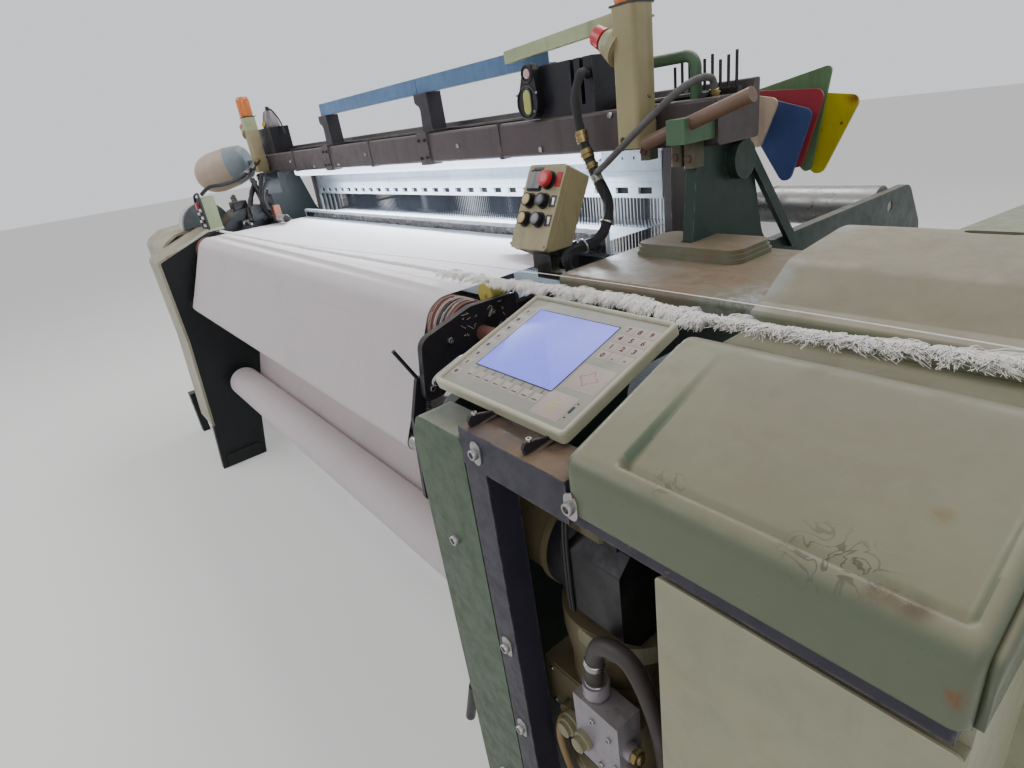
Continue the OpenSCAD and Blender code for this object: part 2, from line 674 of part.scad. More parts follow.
// Brown deck plate with its raised lid
deck_x0 = right_in - 135;
deck_y0 = fell_y - 278;
deck_y1 = beam_y0 + 55;
module deck_cover() color("#6e6450") {
    x1 = cover_x0 - cover_gap;
    t = 5;
    column_y = beam_y0 - 46;
    difference() {
        union() {
            along_x(deck_x0, x1) skin([[deck_y0, deck_z - 50, 0], [deck_y0, deck_z, 14], [deck_y1, deck_z, 0]], -t);
            along_x(deck_x0, deck_x0 + t) polygon([[deck_y0, deck_z - 50], [deck_y0 + 12, deck_z - t / 2],
                [deck_y1, deck_z - t / 2], [deck_y1, deck_z - 50]]);
            for (i = [0:2]) translate([0, 0, deck_z - 1]) linear_extrude(10 + 8 * i)
                round_rect(deck_x0 + 37 + 3 * i, deck_x0 + 292 - 3 * i, deck_y1 - 140 + 3 * i, deck_y1 - 4 - 3 * i, 26);
        }
        block(right_in - 1, right_in + plate_t + 1, deck_y0 - 1, deck_y1 + 1, deck_z - 60, plate_top_z + cover_gap);
        block(right_in - 1, right_in + plate_t + 1, column_y, deck_y1 + 1, deck_z - 60, deck_z + 40);
    }
    block(right_in + 1, right_in + plate_t - 1, deck_y0 + 40, column_y - 40, plate_top_z, deck_z - t / 2);
}

// Terminal on its tilted bracket
terminal_y0 = front_y + 44;
terminal_z0 = rail_top_z + 19;
terminal_t = 14;
function terminal_under(y) = terminal_z0 + (y - terminal_y0) * tan(terminal_tilt) - terminal_t / cos(terminal_tilt);

module terminal_case() color("#cbc7b2") {
    translate([terminal_x0, terminal_y0, terminal_z0]) rotate([terminal_tilt, 0, 0]) difference() {
        translate([0, 0, -terminal_t]) linear_extrude(terminal_t) round_rect(0, terminal_w, 0, terminal_l, 8);
        translate([0, 0, -2]) linear_extrude(3) round_rect(7, terminal_w - 7, 9, terminal_l - 7, 5);
        translate([0, 0, -4]) linear_extrude(3) round_rect(41, terminal_w - 78, 59, terminal_l - 32, 2);
    }
    for (x = [post_x1 + 20, terminal_x0 + terminal_w - 30]) translate([x, terminal_y0, terminal_z0])
        rotate([terminal_tilt, 0, 0]) translate([-8, 60, -terminal_t - 2.7]) cube([24, 110, 2.7]);
}

// Control box on its arm: its face leans back from the vertical
control_x0 = cloth_x1 - 18;
control_w = 122;
control_h = 190;
control_t = 74;
control_lean = 28;
control_y = deck_y0 + 42;
control_z = 1222;
button_r = 14;
button_grid = [[32, 108], [78, 108], [32, 66], [78, 66], [78, 154]];

module on_control() {
    translate([control_x0, control_y, control_z]) rotate([90 - control_lean, 0, 0]) children();
}

module control_box() color("#a59a78") {
    on_control() difference() {
        translate([0, 0, -control_t]) linear_extrude(control_t) round_rect(0, control_w, 0, control_h, 8);
        for (p = button_grid) translate([p[0], p[1], -26]) cylinder(h = 30, r = 8 + run_gap * 4);
        translate([14, 134, -15]) cube([40, 40, 20]);
    }
    color("#1f2022") {
        block(control_x0 + 30, control_x0 + 90, control_y + 40, control_y + 64, deck_z - 26, control_z + 14);
        block(control_x0 + 40, deck_x0, control_y + 40, control_y + 64, deck_z - 46, deck_z - 26);
    }
}

// Push button with its stem in the control box's bore
module push(p, r, h) {
    on_control() translate([p[0], p[1], 0]) {
        translate([0, 0, 6]) cylinder(h = h, r = r);
        translate([0, 0, -20]) cylinder(h = 27, r = 8);
    }
}

module control_stop() color("#c02a2c") push(button_grid[4], 18, 12);
module control_start() color("#b99a4a") push(button_grid[0], button_r, 9);
module control_slow() color("#2d2b30") push(button_grid[1], button_r, 9);
module control_forward() color("#b99a4a") push(button_grid[2], button_r, 9);
module control_reverse() color("#d8d6cc") push(button_grid[3], button_r, 9);

module control_rocker() color("#2d2b30") {
    on_control() {
        difference() {
            translate([14.5, 135, -12]) cube([39, 38, 17]);
            translate([33.5, 134, 2]) cube([1, 40, 4]);
        }
        translate([14, 154, -8]) rotate([0, 90, 0]) cylinder(h = 40, r = 1.5);
    }
}

// Signal posts in front of the beam, each with an amber lamp and an emergency stop
signal_x = [left_main + 60, right_in - 113];
signal_z0 = beam_z0 + 10;
signal_z1 = beam_z0 + 270;
signal_r = 32;
stop_lift = 214;
module signal_posts() color("#b8ad8a") {
    for (x = signal_x) {
        difference() {
            translate([x, beam_y0 - 36, signal_z0]) linear_extrude(signal_z1 - signal_z0) polygon(outline([
                [-30, -27, 10], [30, -27, 10], [30, 29 - cover_gap, 2], [-30, 29 - cover_gap, 2]
            ]));
            y_rod(beam_y0 - 70, beam_y0 - 40, x - 12, signal_z0 + 16, 6);
            on_stop(x) translate([0, 0, 14]) cylinder(h = 46, r = 8 + run_gap * 4);
        }
        block(x - 20, x + 20, beam_y0 - 9, beam_y0, signal_z0 + 20, signal_z0 + 60);
        difference() {
            on_stop(x) cylinder(h = 40, r1 = 34, r2 = 24);
            on_stop(x) translate([0, 0, 14]) cylinder(h = 46, r = 8 + run_gap * 4);
            block(x - 28, x + 60, beam_y0 - 61, beam_y0 - 9, signal_z0, signal_z1);
        }
    }
    // Channel arm behind the right post, leaning down to the left: its web and its two flanges
    arm_y = beam_y0 - 7 - cover_gap;
    for (f = [[-28, 0, 5], [-28, -24, 18], [-4, 0, 18]]) along_y(arm_y - 1, arm_y + f[2]) polygon([
        [signal_x[1] + 20, signal_z1 + f[0]], [signal_x[1] + 20, signal_z1 + f[1]],
        [unit_x0 - 90, signal_z1 + f[1] - 20], [unit_x0 - 90, signal_z1 + f[0] - 20]
    ]);
}

// Frame of an emergency stop, on the post's left face
module on_stop(x) {
    translate([x - 26, beam_y0 - 40, signal_z0 + stop_lift - 30]) rotate([0, -60, 0]) children();
}

module stop_button(x) {
    on_stop(x) translate([0, 0, 22]) cylinder(h = 26, r = 8);
    on_stop(x) translate([0, 0, 47]) cylinder(h = 24, r1 = 22, r2 = 20);
}

module stop_button_left() color("#b0262c") stop_button(signal_x[0]);
module stop_button_right() color("#b0262c") stop_button(signal_x[1]);

module signal_lamps() color("#d8741f") {
    for (x = signal_x) translate([x, beam_y0 - 36, signal_z1]) rotate_extrude()
        polygon([[0, 0], [signal_r - 3, 0], [signal_r, 8], [signal_r, 74], [signal_r - 6, 88], [0, 92]]);
}

// Black unit on the beam with its two-circle belt guard
unit_x0 = cloth_x1 - 134;
module belt_unit() color("#1e2024") {
    z0 = beam_z1;
    difference() {
        block(unit_x0, unit_x0 + 190, beam_y0 + 10, beam_y1 - 34, z0, z0 + 116);
        for (x = [unit_x0 + 120, unit_x0 + 150]) block(x, x + 12, beam_y0, beam_y1 - 60, z0 + 20, z0 + 125);
    }
    block(left_main + 20, left_main + 200, beam_y0 + 10, beam_y1 - 34, z0, z0 + 120);
    along_y(beam_y0 - 16, beam_y0 + 10) union() {
        translate([unit_x0 - 10, z0 + 40]) circle(r = 38);
        translate([unit_x0 - 2, z0 + 104]) circle(r = 20);
        polygon([[unit_x0 - 47, z0 + 46], [unit_x0 + 28, z0 + 46], [unit_x0 + 18, z0 + 106], [unit_x0 - 22, z0 + 106]]);
    }
}

// Green tube handle, the comb of thin rods and the rusty spindle bar at the right end of the beam
module beam_fittings() color("#5d7a5a") {
    hx = right_in - 13;
    hz = beam_z1 + 78;
    hy = beam_y0 + 30;
    translate([hx, hy, beam_z1]) cylinder(h = 54, r = 11);
    translate([hx - 24, hy, hz - 24]) rotate([90, 0, 0]) rotate_extrude(angle = 90) translate([24, 0]) circle(r = 11);
    x_rod(hx - 118, hx - 24, hy, hz, 11);
    block(hx - 128, hx - 116, hy - 16, hy + 16, hz - 16, hz + 16);
    block(hx - 126, hx - 118, hy - 8, hy + 8, beam_z1, hz - 10);
    color("#1c1d20") {
        block(hx - 100, hx + 60, beam_y1 - 60, beam_y1 - 46, beam_z1, beam_z1 + 12);
        for (i = [0:8]) translate([hx - 92 + i * 18, beam_y1 - 53, beam_z1 + 10]) cylinder(h = 54 + 6 * (i % 3), r = 3);
    }
    block(right_in + 10, right_in + 50, beam_y0 - 96, beam_y0, beam_z0 + 14, beam_z0 + 58);
    translate([right_in - 62, beam_y0 - 70, beam_z0 + 18]) rotate([0, 90 - 16, 0]) difference() {
        cylinder(h = 240, r = 13);
        translate([0, 0, -1]) cylinder(h = 20, r = 8);
    }
}

// Cables that their glands hold all the way, and the hose of the lubrication unit
harness_x = control_x0 + 62;
harness = [
    [unit_x0 + 175, beam_y0 + 10, beam_z1 + 80], [unit_x0 + 176, beam_y0 - 14, beam_z1 + 80],
    [harness_x + 4, beam_y0 - 42, beam_z1 + 30], [harness_x + 18, beam_y0 - 42, beam_z0 + 30],
    [harness_x + 50, beam_y0 - 44, beam_z0 - 40], [harness_x + 86, beam_y0 - 46, beam_z0 - 110],
    [harness_x + 90, beam_y0 - 84, beam_z0 - 170], [harness_x + 78, control_y + 50, deck_z + 14],
    [harness_x + 78, control_y + 52, deck_z - 26]
];
conduit = [
    [harness_x + 50, beam_y0 - 44, beam_z0 - 40], [harness_x + 120, beam_y0 - 76, beam_z0 - 12],
    [harness_x + 216, beam_y0 - 84, beam_z0 + 48], [harness_x + 288, beam_y0 - 40, beam_z1 + 24],
    [harness_x + 298, beam_y0 + 30, beam_z1 + 34], [harness_x + 298, beam_y0 + 44, beam_z1]
];
bay_x = post_x1 + 130;
valve_x0 = bay_x + 18;
valve_y = front_y + 46;
valve_z0 = 600;
valve_z1 = 726;
hose = [
    [valve_x0 + 26, valve_y, valve_z1 - 20], [valve_x0 + 26, valve_y, 780], [valve_x0 + 44, valve_y, 832],
    [valve_x0 + 92, valve_y + 4, 836], [valve_x0 + 122, valve_y + 12, 760], [valve_x0 + 126, valve_y + 26, 640],
    [valve_x0 + 124, valve_y + 34, 460], [valve_x0 + 124, valve_y + 34, 270], [valve_x0 + 124, valve_y + 34, tray_z]
];
gland_x = bay_x - 46;
motor_lead = [
    [gland_x, front_y + 54, 590], [gland_x, front_y + 40, 586], [gland_x + 2, front_y + 34, 540],
    [gland_x + 10, front_y + 52, 400], [gland_x + 12, front_y + 70, 260], [gland_x + 16, front_y + 70, tray_z]
];
module cables() color("#17181b") {
    down = [0, 0, -1];
    tube(smooth(harness, 4), 13, 10, [0, -1, 0], down);
    tube(smooth(conduit, 4), 7, 8, [1, 0, 0], down);
    tube(smooth(hose, 3), 13, 10, [0, 0, 1], down);
    tube(smooth(motor_lead, 3), 6, 8, [0, -1, 0], down);
}

// Drive motor in the service bay, lying along X
motor_y = front_y + 150;
motor_z = 884;
module drive_motor() color("#b8b094") {
    x_rod(right_in + plate_t, post_x1 + 50, motor_y, motor_z, 74);
    x_rod(post_x1 + 50, post_x1 + 62, motor_y, motor_z, 80);
    for (i = [0:3]) x_rod(right_in + plate_t + 12 + 24 * i, right_in + plate_t + 18 + 24 * i, motor_y, motor_z, 80);
}

module motor_cap() color("#1b1c21") {
    x0 = post_x1 + 62;
    x_rod(x0, x0 + 40, motor_y, motor_z, 78);
    along_x(x0 + 40, x0 + 150) translate([motor_y, motor_z]) polygon(outline([
        [-80, -50, 6], [-50, -80, 6], [50, -80, 6], [80, -50, 6], [80, 60, 6], [56, 84, 6], [-56, 84, 6], [-80, 60, 6]
    ]));
    block(x0 + 46, x0 + 130, motor_y - 60, motor_y + 20, motor_z + 80, motor_z + 104);
}

// Gear case with its flange and the junction box on its side
module gear_case() color("#b3ab8c") {
    top = motor_z - 80.3;
    translate([bay_x - 6, motor_y + 10, 0]) rotate_extrude() polygon([
        [0, 478], [112, 478], [112, 496], [88, 502], [84, 700], [92, 760], [92, top], [0, top]
    ]);
    block(bay_x - 110, bay_x - 20, front_y + 72, motor_y - 20, 556, 660);
    y_rod(front_y + 54, front_y + 74, gland_x, 590, 16);
    block(bay_x - 60, bay_x + 50, motor_y - 40, motor_y + 60, tray_z, 480);
    block(valve_x0 + 4, valve_x0 + 56, valve_y + 22 + cover_gap, motor_y, valve_z0 + 20, valve_z1 - 36);
}

module valve_block() color("#c9c9c4") {
    x1 = valve_x0 + 86;
    hose_x = valve_x0 + 26;
    difference() {
        union() {
            block(valve_x0, x1, valve_y - 24, valve_y + 22, valve_z0, valve_z1);
            translate([hose_x, valve_y, valve_z1]) cylinder(h = 26, r = 20);
            for (z = [valve_z0 + 30, valve_z0 + 72]) x_rod(x1, x1 + 12, valve_y - 6, z, 13);
        }
        translate([hose_x, valve_y, valve_z1 - 20.3]) cylinder(h = 60, r = 15.5);
    }
}

// Temples that hold the cloth's width near the fell
module temple(s) {
    edge = s > 0 ? cloth_x1 : cloth_x0;
    y = fell_y - 100;
    z = cloth_z + 22;
    translate([edge, y, z]) mirror([s > 0 ? 1 : 0, 0, 0]) {
        rotate([0, 90, 0]) cylinder(h = 130, r = 17);
        translate([130, 0, 0]) rotate([0, 90, 0]) cylinder(h = 60, r1 = 17, r2 = 4);
        translate([-42, -26, -16]) cube([60, 46, 32]);
        translate([-42, -26, -16 - 83]) cube([24, 46, 90]);
        translate([-42, left_front_back + 50 - y, -99]) cube([24, y - left_front_back - 50, 20]);
    }
}

module temples() color("#3a3d40") {
    temple(-1);
    temple(1);
}

// Warp sheet with slots that the reed wires and the healds pass through
slot_w = 7;
module warp_sheet() color("#eceae4") {
    rest_end = [[fell_y, path_z, 0], [rest_y, rest_z, rest_r + sheet_gap + sheet_t / 2],
        [warp_beam_y, warp_beam_z, yarn_r + sheet_gap + sheet_t / 2]];
    difference() {
        along_x(cloth_x0, cloth_x1)
            polygon(concat(sheet_path(rest_end, sheet_t / 2), reverse(sheet_path(rest_end, -sheet_t / 2))));
        for (i = [1:dent_n - 1])
            block(cloth_x0 + i * dent_pitch - slot_w / 2, cloth_x0 + i * dent_pitch + slot_w / 2,
                reed_y - 36, heald_end_y + 6, cloth_z - 10, cloth_z + 10);
    }
}

// Cloth from the fell over the breast roller, round the guide bar and take-up roller to the roll
module cloth() color("#e6e0dc") {
    m = sheet_gap + sheet_t / 2;
    route = [
        [fell_y - 0.5, path_z, 0], [breast_y, breast_z, -breast_r - m], [bar_y, bar_z, -bar_r - m],
        [takeup_y, takeup_z, takeup_r + m], [cloth_roll_y, cloth_roll_z, cloth_roll_r + m]
    ];
    along_x(cloth_x0, cloth_x1)
        polygon(concat(sheet_path(route, sheet_t / 2), reverse(sheet_path(route, -sheet_t / 2))));
}

// Waste selvedge rope: its guides hold it all the way across
rope_r = 7;
guide_x = cloth_x1 + 78;
guide_y = breast_y + 76;
guide_z = cloth_z + 10;
rope = [
    [left_in, breast_y + 74, cloth_z + 10], [cloth_mid_x, breast_y + 72, cloth_z + 12],
    [cloth_x1 - 60, guide_y, guide_z + 9.3], [guide_x, guide_y, guide_z + 9.3],
    [cover_x0 - 260, guide_y - 14, cover_back_z - 32], [cover_x0, groove_y0 + 86, cover_back_z - 20],
    [cover_x0 + 280, groove_y0 + 82, cover_back_z - 6], [right_x - 60, groove_y0 + 82, cover_back_z - 6]
];
module waste_rope() color("#efece6") tube(smooth(rope, 6), rope_r, 8, [1, 0, 0], [1, 0, 0]);

module guide_roller() color("#c9b64f") {
    y_rod(guide_y - 23, guide_y + 14, guide_x, guide_z - 13, 15);
    for (y = [guide_y - 28, guide_y + 13]) y_rod(y, y + 6, guide_x, guide_z - 13, 24);
    y_rod(guide_y - 32, guide_y + 38, guide_x, guide_z - 13, 5);
}

// Dark arm at the right end of the breast roller, with the seats of the lever and the guide roller
arm_x0 = cloth_x1 + 104;
arm_t = 16;
module breast_bracket() color("#25262a") {
    along_x(arm_x0, arm_x0 + arm_t) difference() {
        polygon(outline([
            [bar_y - 16, breast_z - 96, 14], [bar_y + 26, breast_z - 96, 14], [breast_y - 40, breast_z - 40, 30],
            [left_front_back, breast_z - 40, 0], [left_front_back, cloth_z - 5, 8], [breast_y - 20, cloth_z - 2, 30],
            [bar_y, breast_z + 28, 30]
        ]));
        translate([breast_y, breast_z]) circle(r = journal_r + run_gap);
        translate([bar_y + 4, breast_z - 70]) circle(r = 8 + run_gap);
    }
    difference() {
        block(guide_x - 9, guide_x + 9, left_front_back, left_front_back + 10, cloth_z - 77, guide_z - 2);
        y_rod(left_front_back - 5, left_front_back + 15, guide_x, guide_z - 13, 5 + run_gap);
    }
}

// Lever that slackens the cloth, on the inner side of the arm: thin rod above, black grip below
module tension_lever() color("#1b1c1f") {
    y = bar_y + 4;
    z = breast_z - 70;
    x = arm_x0 - 11;
    x_rod(x, arm_x0 + arm_t + 3, y, z, 8);
    along_x(x - 5, x + 5) polygon(outline([
        [y - 18, z + 22, 10], [y - 44, z - 60, 6], [y - 56, z - 250, 8], [y - 34, z - 250, 8], [y - 30, z - 100, 6],
        [y + 14, z - 8, 10], [y + 14, z + 18, 10]
    ]));
    translate([x, y - 10, z + 10]) rotate([28, 0, 0]) cylinder(h = 90, r = 4);
}

module breast_roller() color("#8a8079") {
    x_rod(left_in + 2, cloth_x1 + 6, breast_y, breast_z, breast_r);
    for (i = [0:3]) x_rod(cloth_x1 + 6 + 20 * i, cloth_x1 + 20 + 20 * i, breast_y, breast_z, breast_r - 3);
    x_rod(cloth_x1 + 5, cloth_x1 + 90, breast_y, breast_z, breast_r - 9);
    x_rod(left_in - front_plate_t + 2, right_in + plate_t - 2, breast_y, breast_z, journal_r);
}

module guide_bar() color("#9b9a96") {
    x_rod(left_in + 2, right_in - 2, bar_y, bar_z, bar_r);
    x_rod(left_in - front_plate_t + 2, right_in + plate_t - 2, bar_y, bar_z, journal_r);
}

module takeup_roller() color("#8f7f6c") {
    x_rod(left_in + 2, right_in - 2, takeup_y, takeup_z, takeup_r);
    x_rod(left_in - front_plate_t + 2, right_in + plate_t - 2, takeup_y, takeup_z, journal_r);
}

module cloth_roll() color("#e2dcd8") {
    x_rod(cloth_x0, cloth_x1, cloth_roll_y, cloth_roll_z, cloth_roll_r);
    x_rod(left_in - front_plate_t + 2, right_in + plate_t - 2, cloth_roll_y, cloth_roll_z, journal_r);
    x_rod(cloth_x1 + 40, cloth_x1 + 90, cloth_roll_y, cloth_roll_z, 40);
}

module warp_beam() color("#9aa0a3") {
    for (x = [cloth_x0 - 30, cloth_x1 + 14]) x_rod(x, x + 16, warp_beam_y, warp_beam_z, beam_flange_r);
    for (x = [cloth_x0 - 46, cloth_x1 + 30]) x_rod(x, x + 16, warp_beam_y, warp_beam_z, 120);
    x_rod(cloth_x0 - 30, cloth_x1 + 30, warp_beam_y, warp_beam_z, barrel_r);
    x_rod(left_main - plate_t + 2, right_in + plate_t - 2, warp_beam_y, warp_beam_z, journal_r);
}

module warp_package() color("#efece4") {
    difference() {
        x_rod(cloth_x0 - 14, cloth_x1 + 14, warp_beam_y, warp_beam_z, yarn_r);
        x_rod(cloth_x0 - 15, cloth_x1 + 15, warp_beam_y, warp_beam_z, barrel_r);
    }
}

module back_rest() color("#8d9092") {
    x_rod(left_main + 2, right_in - 2, rest_y, rest_z, rest_r);
    x_rod(left_main - plate_t + 2, right_in + plate_t - 2, rest_y, rest_z, journal_r);
}

// Sley: rocking shaft, swords and race board
race_z = cloth_z - 24;
module sley() color("#55585c") {
    x_rod(left_main - plate_t + 2, right_in + plate_t - 2, rock_y, rock_z, rock_r);
    for (i = [0:5]) {
        x = cloth_x0 + 80 + i * (cloth_w - 200) / 5;
        along_x(x, x + 40) polygon(outline([
            [rock_y - 46, rock_z - 46, 40], [rock_y + 46, rock_z - 46, 40], [rock_y + 46, rock_z + 60, 20],
            [reed_y + 40, race_z - 50, 20], [reed_y - 20, race_z - 50, 4], [reed_y - 20, race_z - 90, 20],
            [rock_y - 46, rock_z + 60, 20]
        ]));
    }
    along_x(cloth_x0 - 10, cloth_x1 + 30) polygon([
        [reed_y - 26, race_z - 50], [reed_y + 44, race_z - 50], [reed_y + 44, race_z - 6], [reed_y + 17, race_z - 6],
        [reed_y + 17, race_z - 26], [reed_y - 2, race_z - 26], [reed_y - 2, race_z], [reed_y - 26, race_z - 4]
    ]);
}

module reed() color("#a9adb0") {
    z1 = cloth_z + reed_rise;
    x0 = cloth_x0 - 6;
    x1 = cloth_x1 + 20;
    block(x0, x1, reed_y - 1, reed_y + 16, race_z - 26, race_z - 2);
    block(x0, x1, reed_y, reed_y + 15, z1 - 12, z1);
    for (x = [x0, x1 - 5]) block(x, x + 5, reed_y + 1, reed_y + 14, race_z - 3, z1 - 11);
    for (i = [1:dent_n - 1])
        block(cloth_x0 + i * dent_pitch - 1.5, cloth_x0 + i * dent_pitch + 1.5, reed_y + 3, reed_y + 12, race_z - 3, z1 - 11);
}

// One heald frame: windowed upper rail, lower rail, end stays and healds
module heald_frame(i) {
    y = heald_y + i * heald_pitch;
    z0 = heald_low - 310;
    difference() {
        union() {
            block(heald_x0, heald_x1, y, y + heald_t, heald_low, heald_top);
            block(heald_x0, heald_x1, y, y + heald_t, z0, z0 + 60);
            block(heald_x0, heald_x0 + 26, y, y + heald_t, z0, heald_top);
            block(heald_x1 - 26, heald_x1, y, y + heald_t, z0, heald_top);
        }
        if (i == 0) for (x = [heald_x0 + 70:window_pitch:heald_x1 - 60])
            block(x, x + 34, y - 1, y + heald_t + 1, heald_low + 22, heald_low + 40);
        block(heald_x0 + 30, heald_x1 - 30, y - 1, y + 2, heald_low + 88, heald_low + 94);
    }
    for (k = [1:dent_n - 1])
        block(cloth_x0 + k * dent_pitch - 1.5, cloth_x0 + k * dent_pitch + 1.5, y + 4, y + 7, z0 + 58, heald_low + 1);
}

module heald_frames_odd() color("#dfe6ea") for (i = [0:2:heald_n - 1]) heald_frame(i);
module heald_frames_even() color("#d5dde2") for (i = [1:2:heald_n - 1]) heald_frame(i);

// Harness levers: flat plates that rock on the pin behind the beam
module lever(i, corners) {
    y = heald_y + i * heald_pitch;
    translate([pivot_x, 0, pivot_z]) along_y(y, y + 6) difference() {
        polygon(outline(concat([[-24, -24, 10], [-24, 24, 10]], corners)));
        circle(r = pivot_r + run_gap);
    }
}

module lever_cream() color("#cdbfa5") lever(0, [[74, 4, 14], [28, -104, 12]]);
module lever_blue() color("#2f4f8c") lever(1, [[136, -26, 16], [86, -187, 16]]);
module lever_red() color("#a83440") lever(2, [[148, 12, 18], [100, -156, 14]]);
module lever_green() color("#5a7f5c") lever(3, [[146, 56, 10], [112, -168, 12]]);
module lever_yellow() color("#d8c21f") lever(4, [[200, -10, 16], [122, -176, 18]]);

// Sheet metal door with its edges folded back, d deep
door_y = front_y + 10;
door_d = 18;
panel_y0 = door_y + door_d + slide_gap;
module service_door() color("#c3bf9c") {
    x1 = cover_x1;
    y0 = door_y;
    along_y(y0, y0 + 3) polygon(outline([
        [x1 - door_w, 150, 6], [x1, 150, 6], [x1, door_top_z, 6], [x1 - door_w, door_top_z, 6]
    ]));
    for (s = [x1 - door_w, x1 - 3]) block(s, s + 3, y0 + 2, y0 + door_d, 156, door_top_z - 6);
    block(x1 - door_w, x1, y0 + 2, y0 + door_d, door_top_z - 9, door_top_z - 6);
}

// Hand lever low on the post's inner side
module hand_lever() color("#1a1b1e") {
    y = front_y + 34;
    z = 476;
    x_rod(right_in - 44, right_in - 0.3, y, z, 12);
    translate([right_in - 40, y, z]) rotate([0, 200, 0]) {
        translate([-7, -7, 0]) cube([14, 14, 60]);
        translate([0, 0, 55]) cylinder(h = 150, r = 11);
    }
}

left_side_frame();
left_front_frame();
right_side_frame();
service_frame();
cross_ties();
top_beam();
beam_posts();
shed_lamp();
left_cover();
left_end_covers();
left_button_box();
front_cover();
end_cover();
deck_cover();
terminal_case();
control_box();
signal_posts();
signal_lamps();
belt_unit();
beam_fittings();
cables();
drive_motor();
motor_cap();
gear_case();
valve_block();
temples();
warp_sheet();
cloth();
waste_rope();
breast_bracket();
guide_roller();
breast_roller();
guide_bar();
takeup_roller();
cloth_roll();
warp_beam();
warp_package();
back_rest();
sley();
reed();
heald_frames_odd();
heald_frames_even();
lever_cream();
lever_blue();
lever_red();
lever_green();
lever_yellow();
control_stop();
control_start();
control_slow();
control_forward();
control_reverse();
control_rocker();
stop_button_right();
stop_button_left();
left_box_stop();
dome_cover();
service_door();
tension_lever();
hand_lever();
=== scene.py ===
"""Power loom: finishes, yarns, cloth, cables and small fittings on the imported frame. Metres, +Z up."""
import json
import math
import random

import bpy
from mathutils import Matrix, Vector

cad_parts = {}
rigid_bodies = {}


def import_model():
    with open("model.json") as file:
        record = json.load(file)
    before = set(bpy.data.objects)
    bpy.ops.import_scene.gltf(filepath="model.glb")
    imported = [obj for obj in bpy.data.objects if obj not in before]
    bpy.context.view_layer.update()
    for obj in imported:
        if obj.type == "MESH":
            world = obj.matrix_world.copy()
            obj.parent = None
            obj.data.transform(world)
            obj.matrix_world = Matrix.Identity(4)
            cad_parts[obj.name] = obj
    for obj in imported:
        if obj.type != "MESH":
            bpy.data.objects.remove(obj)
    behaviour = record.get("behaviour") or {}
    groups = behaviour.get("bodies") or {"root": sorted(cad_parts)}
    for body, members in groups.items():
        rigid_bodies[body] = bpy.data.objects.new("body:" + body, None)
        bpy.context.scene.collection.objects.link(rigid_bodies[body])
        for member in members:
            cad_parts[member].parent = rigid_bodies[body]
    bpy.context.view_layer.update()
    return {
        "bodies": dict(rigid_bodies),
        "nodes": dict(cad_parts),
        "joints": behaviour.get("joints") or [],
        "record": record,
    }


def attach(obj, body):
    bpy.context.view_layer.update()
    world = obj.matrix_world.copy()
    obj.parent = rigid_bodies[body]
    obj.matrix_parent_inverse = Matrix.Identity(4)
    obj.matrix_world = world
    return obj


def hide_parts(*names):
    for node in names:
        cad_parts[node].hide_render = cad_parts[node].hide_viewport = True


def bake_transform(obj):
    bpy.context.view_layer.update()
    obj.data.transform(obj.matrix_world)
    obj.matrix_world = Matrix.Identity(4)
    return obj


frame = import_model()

nodes = frame["nodes"]
FIXED = "machine"
X, Y, Z = Vector((1, 0, 0)), Vector((0, 1, 0)), Vector((0, 0, 1))


# Camera
CAMERA_AT = Vector((1.92, -1.30, 1.50))
CAMERA_TURN = Vector((1.8943799, 0.80434858, -0.69586601))  # from the row's axes to right, down and forward
CAMERA_LENS = 21.14

turn = Matrix.Rotation(CAMERA_TURN.length, 3, CAMERA_TURN.normalized())
camera = bpy.data.objects.new("camera", bpy.data.cameras.new("camera"))
camera.data.lens = CAMERA_LENS
camera.data.clip_start = 0.02
axes = Matrix((turn[0], -turn[1], -turn[2])).transposed()
camera.matrix_world = Matrix.Translation(CAMERA_AT) @ axes.to_4x4()
bpy.context.scene.collection.objects.link(camera)
bpy.context.scene.camera = camera


# Materials
def colour(screen):
    """A colour as it looks on a screen, 0 to 255, as linear RGBA; None stays None."""
    if screen is None:
        return None
    linear = [c / 255 / 12.92 if c <= 10 else ((c / 255 + 0.055) / 1.055) ** 2.4 for c in screen]
    return (*linear, 1.0)


def darker(c, k):
    return tuple(x * k for x in c[:3]) + (1.0,)


class Nodes:
    """A node tree, with helpers for its nodes."""

    def __init__(self, tree):
        self.tree = tree

    def add(self, kind, inputs=None, **settings):
        new = self.tree.nodes.new(kind)
        for key, value in settings.items():
            setattr(new, key, value)
        for key, value in (inputs or {}).items():
            if isinstance(value, bpy.types.NodeSocket):
                self.tree.links.new(value, new.inputs[key])
            else:
                new.inputs[key].default_value = value
        return new

    def vector(self, operation, a, b=(0, 0, 0), out=0):
        return self.add("ShaderNodeVectorMath", {0: a, 1: b}, operation=operation).outputs[out]

    def ramp(self, value, low, high, top=1.0, bottom=0.0):
        """bottom below low, top above high, smooth between them."""
        return self.add("ShaderNodeMapRange", {"Value": value, "From Min": low, "From Max": high,
            "To Min": bottom, "To Max": top}, interpolation_type="SMOOTHSTEP").outputs[0]

    def maths(self, operation, a, b=0.0):
        return self.add("ShaderNodeMath", {0: a, 1: b}, operation=operation, use_clamp=True).outputs[0]

    def both(self, a, b):
        return self.maths("MULTIPLY", a, b)

    def seen(self):
        """1 where the camera, a reflection or glass shows it, 0 where it only lights."""
        path = self.add("ShaderNodeLightPath").outputs
        return self.maths("MAXIMUM", path["Is Camera Ray"],
                          self.maths("MAXIMUM", path["Is Glossy Ray"], path["Is Transmission Ray"]))


